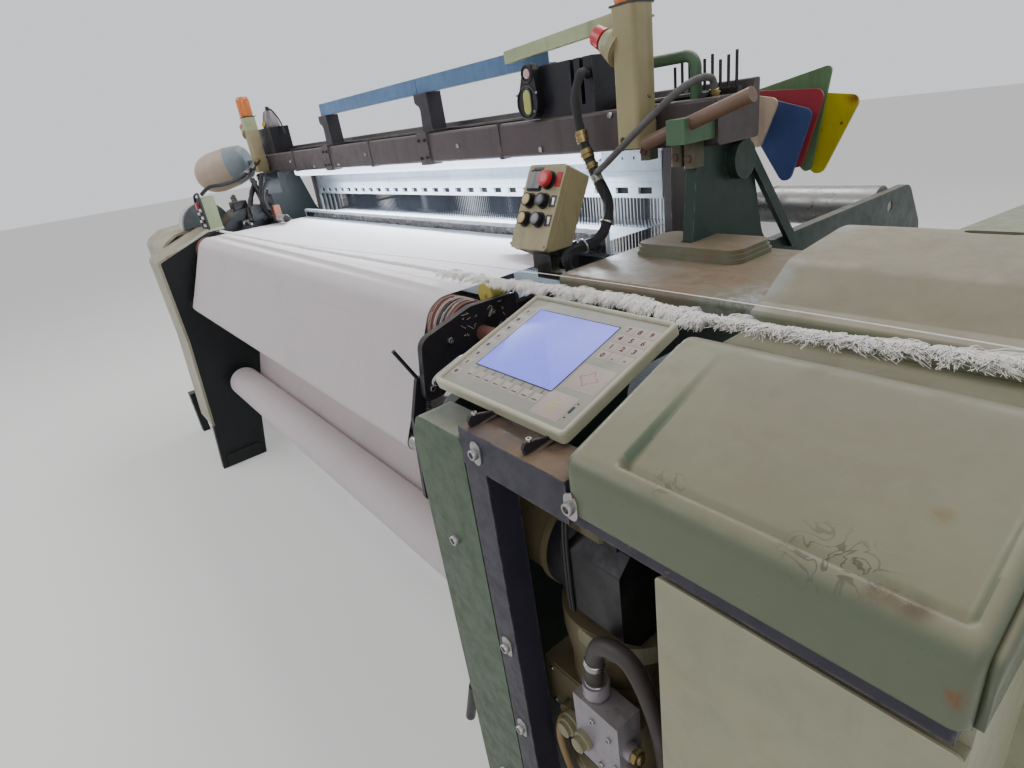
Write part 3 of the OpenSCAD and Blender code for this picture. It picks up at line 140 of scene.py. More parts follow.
class Finish(Nodes):
    """A procedural material; underscores in values stand for spaces in its shader's inputs."""

    def __init__(self, **values):
        self.material = bpy.data.materials.new("finish")
        self.material.use_nodes = True
        super().__init__(self.material.node_tree)
        self.shader = self.tree.nodes["Principled BSDF"]
        for key, value in values.items():
            self.shader.inputs[key.replace("_", " ")].default_value = value
        self.place = self.add("ShaderNodeTexCoord").outputs["Object"]

    def stretch(self, x, y, z):
        return self.add("ShaderNodeMapping", {"Vector": self.place, "Scale": (x, y, z)}).outputs[0]

    def noise(self, scale, detail=4.0, rough=0.55, place=None, twist=0.0):
        return self.add("ShaderNodeTexNoise", {"Vector": place or self.place, "Scale": scale,
            "Detail": detail, "Roughness": rough, "Distortion": twist}).outputs["Fac"]

    def mix(self, share, a, b):
        return self.add("ShaderNodeMix", {0: share, 6: a, 7: b}, data_type="RGBA").outputs[2]

    def normal(self):
        return self.add("ShaderNodeNewGeometry").outputs["Normal"]

    def upward(self):
        """1 on level faces, 0 on upright ones."""
        return self.ramp(self.add("ShaderNodeSeparateXYZ", {0: self.normal()}).outputs[2], 0.45, 0.97)

    def edges(self):
        """1 near outer and inner edges."""
        soft = self.add("ShaderNodeBevel", {"Radius": 0.006}, samples=4).outputs[0]
        return self.ramp(self.vector("DOT_PRODUCT", soft, self.normal(), "Value"), 0.80, 0.985, 0.0, 1.0)

    def near(self, point, radius):
        """1 at a point, falling to 0 at a radius."""
        return self.ramp(self.vector("DISTANCE", self.place, point, "Value"), 0.25 * radius, radius, 0.0, 1.0)

    def axis(self, which):
        return self.add("ShaderNodeSeparateXYZ", {0: self.place}).outputs[which]

    def above(self, which, low, high):
        """1 beyond high on an axis, 0 before low."""
        return self.ramp(self.axis(which), low, high)

    def below(self, which, low, high):
        return self.ramp(self.axis(which), low, high, 0.0, 1.0)

    def along(self, point, direction):
        """Distance from a point along a direction."""
        return self.vector("DOT_PRODUCT", self.vector("SUBTRACT", self.place, point), direction, "Value")

    def beside(self, point, direction, radius):
        """1 within a radius of a line."""
        off = self.vector("CROSS_PRODUCT", self.vector("SUBTRACT", self.place, point), direction)
        return self.ramp(self.vector("LENGTH", off, out="Value"), radius, radius + 0.0015, 0.0, 1.0)

    def scribble(self):
        """1 on thin winding lines."""
        value = self.noise(38.0, 2.0, 0.5, twist=1.5)
        shift = self.add("ShaderNodeMath", {0: value, 1: 0.5}, operation="SUBTRACT").outputs[0]
        size = self.add("ShaderNodeMath", {0: shift}, operation="ABSOLUTE").outputs[0]
        return self.ramp(size, 0.014, 0.035, 0.0, 1.0)

    def bump(self, height, depth, distance=0.001):
        made = self.add("ShaderNodeBump", {"Height": height, "Strength": depth, "Distance": distance})
        self.tree.links.new(made.outputs[0], self.shader.inputs["Normal"])

    def use(self, socket, value):
        self.tree.links.new(value, self.shader.inputs[socket])


DUST = (142, 125, 101)
RUST = (96, 58, 38)
GRIME = (46, 40, 34)


def paint(base, rough=0.45, dust=0.35, dust_colour=DUST, chips=0.0, chip_colour=RUST, streaks=0.3,
          tint=None, edge=0.0, edge_colour=None, stains_and_sheen=(), metal=0.0, coarse=0.25, fine=170.0, zones=(),
          marks=(), side=None):
    """Paint or enamel with tonal drift, dust on level faces, streaks, chips, worn edges, staining and painted
    sheen.

    Spots and marks are [point, radius, colour]; most spots are staining, the grey-blue ones on the deck are
    painted sheen. zones are [colour, function that says where], and side is the colour of upright faces,
    on the front cover a painted shade darker than the top."""
    base, dust_colour, chip_colour = map(colour, (base, dust_colour, chip_colour))
    tint, edge_colour, side = map(colour, (tint, edge_colour, side))
    f = Finish(Roughness=rough, Metallic=metal, Specular_IOR_Level=0.3)
    drift = f.noise(2.6, 5.0, 0.6)
    shade = f.mix(f.ramp(drift, 0.34, 0.68), darker(base, 0.86), tint or darker(base, 1.10))
    # Upright faces take the side colour; on the front cover it is painted shade, darker than the top
    if side:
        shade = f.mix(f.maths("SUBTRACT", 1.0, f.upward()), shade, side)
    for other, share in zones:
        other = colour(other)
        inside = share(f)
        second = f.mix(f.ramp(drift, 0.34, 0.68), darker(other, 0.86), darker(other, 1.10))
        shade = f.mix(inside, shade, second)
    mottle = f.noise(34.0, 6.0, 0.65)
    shade = f.mix(f.ramp(mottle, 0.42, 0.78, 0.22), shade, darker(base, 0.62))
    runs = f.noise(1.0, 5.0, 0.6, f.stretch(26.0, 26.0, 2.2))
    shade = f.mix(f.ramp(runs, 0.52, 0.74, streaks), shade, darker(colour(GRIME), 1.3))
    if edge:
        worn = f.both(f.edges(), f.ramp(f.noise(48.0, 6.0, 0.7), 0.40, 0.62, edge))
        shade = f.mix(worn, shade, edge_colour or darker(base, 1.7))
    if chips:
        flake = f.ramp(f.noise(23.0, 9.0, 0.72, twist=0.4), 0.70 - 0.10 * chips, 0.715 - 0.10 * chips)
        shade = f.mix(flake, shade, chip_colour)
    settled = f.both(f.upward(), f.ramp(f.noise(7.5, 7.0, 0.62), 0.30, 0.66, dust, dust * 0.25))
    shade = f.mix(settled, shade, dust_colour)
    # Spots: mostly staining; on the deck the grey and grey-blue ones are painted sheen
    for point, radius, spot_colour in stains_and_sheen:
        spread = f.both(f.near(point, radius), f.ramp(f.noise(21.0, 6.0, 0.7, twist=0.8), 0.40, 0.62))
        shade = f.mix(spread, shade, colour(spot_colour))
    for point, radius, mark in marks:
        shade = f.mix(f.both(f.both(f.near(point, radius), f.scribble()), 0.5), shade, colour(mark))
    f.use("Base Color", shade)
    dull = f.maths("ADD", f.both(settled, 0.3), rough - 0.08)
    f.use("Roughness", f.maths("ADD", f.ramp(mottle, 0.3, 0.75, 0.22), dull))
    f.bump(f.maths("ADD", f.noise(fine, 4.0, 0.6), f.both(mottle, 0.6)), coarse, 0.0008)
    return f.material


def metal(base, rough=0.35, oil=0.4, rust=0.0, line=None):
    """Bare metal with fine machining lines across it, oil darkening and specks of rust."""
    base = colour(base)
    f = Finish(Metallic=0.92, Roughness=rough)
    lines = f.noise(1.0, 3.0, 0.5, f.stretch(*(line or (700.0, 9.0, 9.0))))
    film = f.noise(16.0, 6.0, 0.62)
    shade = f.mix(f.ramp(film, 0.42, 0.72, oil), base, darker(base, 0.30))
    shade = f.mix(f.ramp(lines, 0.45, 0.8, 0.25), shade, darker(base, 0.7))
    if rust:
        shade = f.mix(f.ramp(f.noise(42.0, 8.0, 0.7), 0.62 - 0.08 * rust, 0.68 - 0.08 * rust), shade,
                      colour(RUST))
    f.use("Base Color", shade)
    f.use("Roughness", f.ramp(film, 0.35, 0.75, rough + 0.25, rough - 0.06))
    f.bump(lines, 0.18, 0.0004)
    return f.material


def moulded(base, rough=0.4, grain=420.0, soil=0.25, soil_colour=GRIME, clear=0.0):
    """Moulded plastic or rubber with a fine grain and grubby patches."""
    base = colour(base)
    f = Finish(Roughness=rough, Coat_Weight=clear, Coat_Roughness=0.15)
    patch = f.noise(19.0, 6.0, 0.66)
    shade = f.mix(f.ramp(patch, 0.50, 0.74, soil), base, colour(soil_colour))
    shade = f.mix(f.ramp(f.noise(5.0, 3.0), 0.3, 0.7, 0.3), shade, darker(base, 1.25))
    f.use("Base Color", shade)
    f.use("Roughness", f.ramp(patch, 0.4, 0.75, min(rough + 0.25, 1.0), rough))
    f.bump(f.noise(grain, 3.0, 0.6), 0.22, 0.0005)
    return f.material


def woven(base, shadow, across=1500.0, along=1500.0, soil=0.12):
    """Plain weave: fine threads both ways, soft unevenness and a little soiling."""
    base, shadow = colour(base), colour(shadow)
    f = Finish(Roughness=0.85, Sheen_Weight=0.3, Sheen_Roughness=0.5)
    threads = f.add("ShaderNodeTexWave", {"Vector": f.stretch(across, 0, 0), "Scale": 1.0, "Distortion": 0.3},
                    bands_direction="X").outputs["Fac"]
    picks = f.add("ShaderNodeTexWave", {"Vector": f.stretch(0, along, along), "Scale": 1.0,
                                        "Distortion": 0.3}, bands_direction="DIAGONAL").outputs["Fac"]
    weave = f.both(threads, picks)
    slub = f.noise(1.0, 3.0, 0.6, f.stretch(160.0, 3.0, 3.0))
    bars = f.noise(1.0, 3.0, 0.6, f.stretch(2.0, 60.0, 60.0))
    shade = f.mix(f.ramp(weave, 0.0, 0.8, 1.0, 0.55), shadow, base)
    shade = f.mix(f.ramp(slub, 0.55, 0.75, 0.22), shade, shadow)
    shade = f.mix(f.ramp(bars, 0.58, 0.76, 0.14), shade, shadow)
    shade = f.mix(f.ramp(f.noise(3.2, 5.0, 0.6), 0.52, 0.75, soil), shade, colour((150, 140, 132)))
    f.use("Base Color", shade)
    f.bump(f.maths("ADD", weave, slub), 0.28, 0.0006)
    return f.material


def glowing(base, strength, lines=False):
    """Lit surface; with lines it is a display with faint rows."""
    base = colour(base)
    f = Finish(Roughness=0.35, Emission_Strength=strength, Specular_IOR_Level=0.25)
    shade = f.mix(f.ramp(f.noise(9.0, 3.0), 0.35, 0.7, 0.5), base, darker(base, 1.15))
    if lines:
        rows = f.noise(1.0, 2.0, 0.5, f.stretch(170.0, 420.0, 420.0))
        shade = f.mix(f.ramp(rows, 0.60, 0.66, 0.30), shade, darker(base, 0.45))
    f.use("Base Color", shade)
    f.use("Emission Color", shade)
    return f.material


COVER_STAINS = (
    ((1.800, -0.926, 1.166), 0.022, (112, 98, 78)),
    ((1.824, -0.926, 1.166), 0.020, (106, 94, 76)),
    ((1.733, -0.919, 1.168), 0.012, (56, 52, 44)),
    ((1.781, -0.858, 1.189), 0.009, (150, 118, 62)),
    ((1.811, -0.851, 1.192), 0.014, (134, 114, 72)),
    ((1.640, -0.780, 1.216), 0.012, (112, 104, 84)),
    ((1.860, -0.950, 1.120), 0.016, (134, 84, 50)),
    ((1.700, -0.800, 1.210), 0.160, (134, 128, 106)),
)
COVER_MARKS = (
    ((1.756, -0.917, 1.169), 0.042, (60, 56, 46)),
    ((1.785, -0.917, 1.169), 0.036, (66, 62, 52)),
    ((1.610, -0.916, 1.168), 0.030, (88, 84, 70)),
)
EGG_TIP, EGG_AXIS = (-1.790, -0.490, 1.405), (0.589, 0.781, 0.208)
ROD_END, ROD_AXIS = (1.081, -0.290, 1.412), (0.9613, 0.0, 0.2756)


# Where a painted piece has a second colour: 1 inside, 0 outside
def post_top(f):
    return f.maths("MAXIMUM", f.above(2, 1.110, 1.112), f.above(1, -0.8850, -0.8840))


def blue_bars(f):
    return f.above(2, 1.5972, 1.5980)


# Painted shadow in the tray's left crease: darker green along a line down the slope, strongest at the front
def tray_crease_shadow(f):
    return f.both(f.beside((1.5575, -0.919, 1.166), (0, 0.947, 0.3213), 0.0055),
                  f.maths("MINIMUM", f.ramp(f.axis(1), -0.8830, -0.745, 0.0, 0.8),
                          f.above(1, -0.9120, -0.9080)))


def end_front(f):
    return f.both(f.below(1, -0.7005, -0.6995), f.below(2, 1.0915, 1.0925))


# Painted sheen: a pale grey-blue band on the dome's left end, broken up by noise
def dome_painted_sheen(f):
    return f.both(f.ramp(f.axis(0), 1.500, 1.530, 0.0, 0.75), f.ramp(f.noise(14.0, 5.0), 0.35, 0.65))


def top_bar(f):
    return f.both(f.below(0, 0.993, 0.995), f.above(2, 1.600, 1.602))


def box_foot(f):
    return f.both(f.below(2, 1.2150, 1.2165), f.above(2, 1.10, 1.11))


def egg_rear(f):
    return f.both(f.ramp(f.along(EGG_TIP, EGG_AXIS), 0.206, 0.209), f.above(2, 1.330, 1.331))


def below_egg(f):
    return f.below(2, 1.330, 1.331)


def below_egg_inner(f):
    return f.both(f.below(2, 1.330, 1.331), f.above(0, -1.5300, -1.5290))


def rod(f):
    return f.beside(ROD_END, ROD_AXIS, 0.0145)


def comb(f):
    return f.both(f.above(1, -0.146, -0.144), f.above(2, 1.478, 1.481))


LOOKS = {
    "frame_dark": paint((36, 40, 42), 0.42, 0.40, chips=0.25, edge=0.4, edge_colour=(84, 80, 74)),
    "frame_green": paint((66, 86, 62), 0.38, 0.6, (126, 112, 92), 0.30, (66, 54, 44), 0.30, edge=0.5,
                         edge_colour=(128, 142, 116), zones=(((46, 66, 60), post_top),)),
    "deep_green": paint((34, 44, 44), 0.40, 0.5, chips=0.3, chip_colour=(58, 46, 38), edge=0.4),
    "tube_frame": paint((48, 46, 60), 0.42, 0.95, (124, 103, 82), 0.3, (106, 88, 70), 0.3, edge=0.7,
                        edge_colour=(136, 126, 116)),
    "beam_brown": paint((84, 75, 76), 0.36, 0.85, (122, 108, 96), 0.5, RUST, 0.5, edge=0.6,
                        edge_colour=(150, 138, 128)),
    "post_dark": paint((56, 52, 58), 0.4, 0.6, edge=0.5, edge_colour=(120, 118, 116), chips=0.2,
                       zones=(((98, 132, 172), blue_bars),)),
    "cover_beige": paint((178, 174, 152), 0.45, 0.45, chips=0.15, edge=0.4),
    # Front cover: side=(109, 117, 95) is painted shade on its upright faces, and the tray crease zone is a
    # painted shadow
    "cover_green": paint((139, 137, 113), 0.34, 0.30, (148, 138, 116), 0.06, (110, 80, 50), 0.08,
                         tint=(144, 144, 118), stains_and_sheen=COVER_STAINS, coarse=0.12, marks=COVER_MARKS,
                         side=(109, 117, 95), zones=(((88, 110, 88), tray_crease_shadow),)),
    "end_green": paint((136, 142, 116), 0.38, 0.30, (148, 138, 116), 0.10, (110, 80, 50), 0.2, coarse=0.15,
                       zones=(((186, 186, 160), end_front),)),
    "dome_green": paint((134, 130, 107), 0.36, 0.5, (152, 138, 114), 0.05, streaks=0.15,
                        tint=(154, 148, 126), coarse=0.12, side=(130, 134, 110),
                        zones=(((160, 166, 166), dome_painted_sheen),)),
    # Deck: the three grey and grey-blue spots are painted sheen, the three brown ones are staining
    "deck_brown": paint((128, 118, 98), 0.38, 0.5, (136, 116, 94), 0.08, streaks=0.2, side=(116, 120, 100),
                        stains_and_sheen=(((1.440, -0.470, 1.190), 0.120, (160, 166, 166)),
                                ((1.470, -0.360, 1.190), 0.100, (156, 162, 162)),
                                ((1.165, -0.380, 1.190), 0.110, (146, 142, 132)),
                                ((1.290, -0.360, 1.190), 0.150, (130, 106, 84)),
                                ((1.100, -0.420, 1.190), 0.130, (130, 110, 90)),
                                ((1.240, -0.450, 1.190), 0.120, (124, 102, 82)))),
    "terminal_cream": paint((200, 196, 172), 0.42, 0.2, (160, 148, 124), streaks=0.15, edge=0.5,
                            edge_colour=(222, 218, 200), coarse=0.2, fine=520.0),
    "box_beige": paint((176, 164, 126), 0.42, 0.35, chips=0.12, chip_colour=(90, 78, 60), streaks=0.3,
                       edge=0.5, edge_colour=(206, 198, 164), zones=(((178, 190, 148), top_bar),
        ((34, 34, 38), box_foot))),
    "box_green": paint((138, 148, 112), 0.42, 0.3, chips=0.1, edge=0.3),
    "egg_shell": paint((196, 176, 156), 0.45, 0.3, streaks=0.15, coarse=0.12,
                       zones=(((142, 156, 164), egg_rear), ((224, 220, 214), below_egg),
                              ((96, 104, 108), below_egg_inner))),
    "black_unit": paint((34, 34, 40), 0.36, 0.5, chips=0.15, edge=0.5, edge_colour=(96, 92, 88)),
    "fitting_green": paint((86, 116, 88), 0.42, 0.55, chips=0.5, chip_colour=(104, 78, 56), edge=0.5,
                           zones=(((124, 98, 82), rod), ((40, 40, 44), comb))),
    "rusty_bar": paint((112, 88, 74), 0.7, 0.5, (132, 112, 92), 0.5, (70, 46, 34), 0.5, coarse=0.8),
    "clamp_olive": paint((104, 100, 82), 0.5, 0.4, chips=0.9, chip_colour=(100, 70, 54), edge=0.6),
    "cable_black": moulded((34, 34, 37), 0.62, 500.0, 0.5, (84, 76, 66)),
    "cable_grey": moulded((96, 94, 92), 0.6, 500.0, 0.5, (66, 60, 54)),
    "cast_beige": paint((118, 108, 82), 0.5, 0.6, (104, 88, 64), 0.25, (84, 68, 48), 0.6, coarse=0.6,
                        fine=110.0),
    "cap_black": moulded((20, 19, 23), 0.42, 300.0, 0.35, (52, 46, 40)),
    "valve_white": paint((160, 154, 160), 0.34, 0.9, (104, 88, 68), 0.2, (80, 68, 56), 0.5, metal=0.2),
    "temple_dark": metal((84, 84, 88), 0.34, 0.6, 0.3),
    "guide_yellow": moulded((196, 184, 92), 0.35, 300.0, 0.35, (84, 70, 40), 0.2),
    "roller_rubber": moulded((118, 76, 66), 0.6, 240.0, 0.5, (62, 48, 44)),
    "roller_steel": metal((150, 148, 144), 0.30, 0.4, 0.2),
    "beam_alloy": metal((176, 178, 180), 0.34, 0.3),
    "heald_alloy": paint((206, 214, 222), 0.36, 0.3, (150, 148, 142), 0.2, (96, 92, 88), 0.25, edge=0.3,
                         edge_colour=(230, 234, 238), metal=0.1),
    "steel_grey": metal((98, 100, 106), 0.36, 0.2),
    "bracket_black": paint((44, 42, 48), 0.38, 0.4, (104, 92, 78), 0.3, (92, 82, 70), 0.4, edge=0.5,
                           edge_colour=(112, 104, 98)),
    "lever_cream_paint": paint((216, 192, 168), 0.45, chips=0.15, chip_colour=(140, 96, 62)),
    "lever_blue_paint": paint((64, 82, 134), 0.42, chips=0.1),
    "lever_red_paint": paint((168, 62, 74), 0.42, chips=0.15),
    "lever_green_paint": paint((104, 136, 98), 0.42, chips=0.1),
    "lever_yellow_paint": paint((206, 190, 26), 0.42, chips=0.75, chip_colour=(112, 66, 28),
                                stains_and_sheen=(((1.300, 0.119, 1.450), 0.035, (134, 74, 26)),)),
    "button_red": moulded((206, 44, 50), 0.28, 200.0, 0.2, clear=0.4),
    "button_yellow": moulded((196, 170, 96), 0.28, 200.0, 0.3, clear=0.4),
    "button_dark": moulded((52, 48, 54), 0.28, 200.0, 0.3, (110, 104, 96), 0.4),
    "button_white": moulded((118, 112, 116), 0.3, 200.0, 0.3, clear=0.4),
    "door_cream": paint((172, 171, 143), 0.40, 0.4, chips=0.04, streaks=0.08, tint=(180, 179, 152),
                        edge=0.3, stains_and_sheen=(((1.640, -0.934, 0.840), 0.20, (172, 166, 136)),
                                          ((1.780, -0.934, 0.700), 0.16, (166, 160, 130)))),
    "lamp_amber": moulded((222, 118, 34), 0.22, 300.0, 0.15, clear=0.6),
    "lamp_white": glowing((222, 236, 255), 2.4),
    "cloth_white": woven((238, 227, 227), (196, 183, 184)),
    "warp_yarn": woven((228, 232, 238), (176, 182, 192), 900.0, 40.0, 0.05),
    "rope_white": moulded((246, 243, 238), 0.95, 700.0, 0.10, (206, 198, 188)),
    "thread_white": moulded((240, 238, 234), 0.9, 900.0, 0.05),
    "brass": metal((150, 132, 90), 0.30, 0.55),
    "bright_steel": metal((170, 168, 166), 0.28, 0.45, 0.35),
    "heald_wire": metal((92, 94, 102), 0.40, 0.3),
    "rail_white": paint((222, 230, 238), 0.34, 0.2, (170, 168, 162), 0.12, (110, 104, 98), 0.12,
                        coarse=0.1),
    "face_grey": moulded((152, 150, 139), 0.5, 600.0, 0.10, (112, 104, 94)),
    "key_pale": moulded((176, 162, 152), 0.5, 600.0, 0.15, (122, 108, 98)),
    "mark_dark": moulded((84, 30, 38), 0.6, 300.0, 0.1),
    "mark_grey": moulded((70, 72, 84), 0.6, 300.0, 0.1),
    "mark_red": moulded((190, 96, 92), 0.6, 300.0, 0.1),
    "mark_yellow": moulded((200, 176, 104), 0.6, 300.0, 0.1),
    "screen": glowing((122, 128, 240), 0.62, True),
    "window_lime": moulded((172, 176, 96), 0.4, 300.0, 0.3),
    "hose_brown": moulded((66, 58, 56), 0.55, 420.0, 0.5, (98, 84, 70)),
    "motor_lead": moulded((150, 122, 84), 0.55, 400.0, 0.5, (84, 62, 44)),
    "mark_stop": moulded((176, 44, 48), 0.5, 300.0, 0.2),
    "mark_plate": moulded((58, 54, 60), 0.4, 300.0, 0.3, (120, 112, 104)),
    "window_pink": moulded((206, 172, 164), 0.4, 300.0, 0.3),
    "rubber_red": moulded((122, 66, 58), 0.55, 260.0, 0.45, (70, 50, 46)),
    "wound_thread": moulded((204, 186, 178), 0.9, 900.0, 0.3, (120, 96, 88)),
    "flange_pale": paint((150, 146, 118), 0.5, 0.5, (120, 104, 78), 0.2, (84, 68, 48), 0.5),
    "terracotta": paint((140, 84, 66), 0.55, 0.4, streaks=0.3),
    "feeder_yellow": moulded((214, 176, 50), 0.45, 300.0, 0.2),
}
DRESS = {
    "end_cover": "end_green", "left_end_covers": "egg_shell", "right_side_frame": "frame_green",
    "left_side_frame": "deep_green", "cross_ties": "frame_dark",
}
for key, look in LOOKS.items():
    look.name = key + "_finish"
for part in frame["record"]["subparts"]:
    node = nodes[part["node"]]
    node.data.materials.clear()
    node.data.materials.append(LOOKS[DRESS.get(part["node"], part["material_slot"])])


def soften(name, width):
    """Rounds a CAD node's sharp edges a little and shades its round faces smooth."""
    node = nodes[name]
    node.data.shade_smooth()
    node.modifiers.new("weld", "WELD").merge_threshold = 0.00002
    if width:
        rim = node.modifiers.new("rim", "BEVEL")
        rim.width, rim.segments, rim.limit_method, rim.angle_limit = width, 2, "ANGLE", math.radians(38)
    else:
        node.modifiers.new("sharp", "EDGE_SPLIT").split_angle = math.radians(34)
    node.modifiers.new("even", "WEIGHTED_NORMAL").keep_sharp = True


CUT = ("dome_cover", "deck_cover", "left_cover", "left_end_covers", "terminal_case", "control_box",
       "signal_posts", "top_beam", "beam_posts", "service_frame", "service_door", "gear_case", "motor_cap",
       "valve_block", "belt_unit", "left_button_box", "right_side_frame", "end_cover", "drive_motor")
TURNED = ("signal_lamps", "left_side_frame", "left_front_frame", "breast_roller", "guide_bar",
          "takeup_roller", "cloth_roll", "warp_beam", "warp_package", "back_rest", "guide_roller",
          "temples", "beam_fittings", "breast_bracket", "sley", "tension_lever", "hand_lever",
          "control_stop", "control_start", "control_slow", "control_forward", "control_reverse",
          "stop_button_left", "stop_button_right", "left_box_stop")
for name in CUT + TURNED:
    soften(name, 0.0012 if name in CUT else 0.0)


# Shapes, in millimetres
def facing(origin, normal, up=Z):
    """Frame with its z along a normal and its y as near to up as it can be."""
    z = Vector(normal).normalized()
    x = Vector(up).cross(z).normalized()
    return Matrix.Translation(origin) @ Matrix((x, z.cross(x), z)).transposed().to_4x4()


def tilted(origin, degrees):
    return Matrix.Translation(origin) @ Matrix.Rotation(math.radians(degrees), 4, "X")


def circle(r, n, x=0.0, y=0.0):
    return [(x + r * math.cos(math.tau * k / n), y + r * math.sin(math.tau * k / n)) for k in range(n)]


def round_rect(x0, x1, y0, y1, r, n=4):
    out = []
    for cx, cy, a in ((x1 - r, y1 - r, 0), (x0 + r, y1 - r, 90), (x0 + r, y0 + r, 180),
                      (x1 - r, y0 + r, 270)):
        for k in range(n + 1):
            t = math.radians(a + 90 * k / n)
            out.append((cx + r * math.cos(t), cy + r * math.sin(t)))
    return out


def slot_outline(w, h, n=8):
    """Long hole or oval washer, w wide and h high."""
    r, d = w / 2, (h - w) / 2
    up = [(r * math.cos(math.pi * k / n), d + r * math.sin(math.pi * k / n)) for k in range(n + 1)]
    return up + [(-x, -y) for x, y in up]


def inset(outline, c):
    """A convex outline moved inwards by c."""
    n, out = len(outline), []
    for i in range(n):
        a, b, d = (Vector(outline[(i + k) % n]) for k in (-1, 0, 1))
        u, v = (b - a).normalized(), (d - b).normalized()
        m, w = Vector((-u.y, u.x)), Vector((-v.y, v.x))
        out.append(tuple(b + c * (m + w) / max(0.3, 1 + m.dot(w))))
    return out


def spline(points, n=6):
    """Smooth line through points, n steps from one to the next."""
    p = [Vector(q) for q in points]
    out, last = [], len(p) - 1
    for i in range(last):
        a, b, c, d = p[max(i - 1, 0)], p[i], p[i + 1], p[min(i + 2, last)]
        for k in range(n):
            t = k / n
            out.append(0.5 * (2 * b + (c - a) * t + (2 * a - 5 * b + 4 * c - d) * t * t
                              + (3 * b - a - 3 * c + d) * t ** 3))
    return out + [p[last]]


def carried(points):
    """A frame at each point of a line, turned as little as possible from one to the next."""
    out, last = [], len(points) - 1
    side = None
    for i, p in enumerate(points):
        w = (points[min(i + 1, last)] - points[max(i - 1, 0)]).normalized()
        side = (side or (X if abs(w.x) < 0.9 else Z)) - w * w.dot(side or (X if abs(w.x) < 0.9 else Z))
        side.normalize()
        out.append((p, side, w.cross(side), w))
    return out


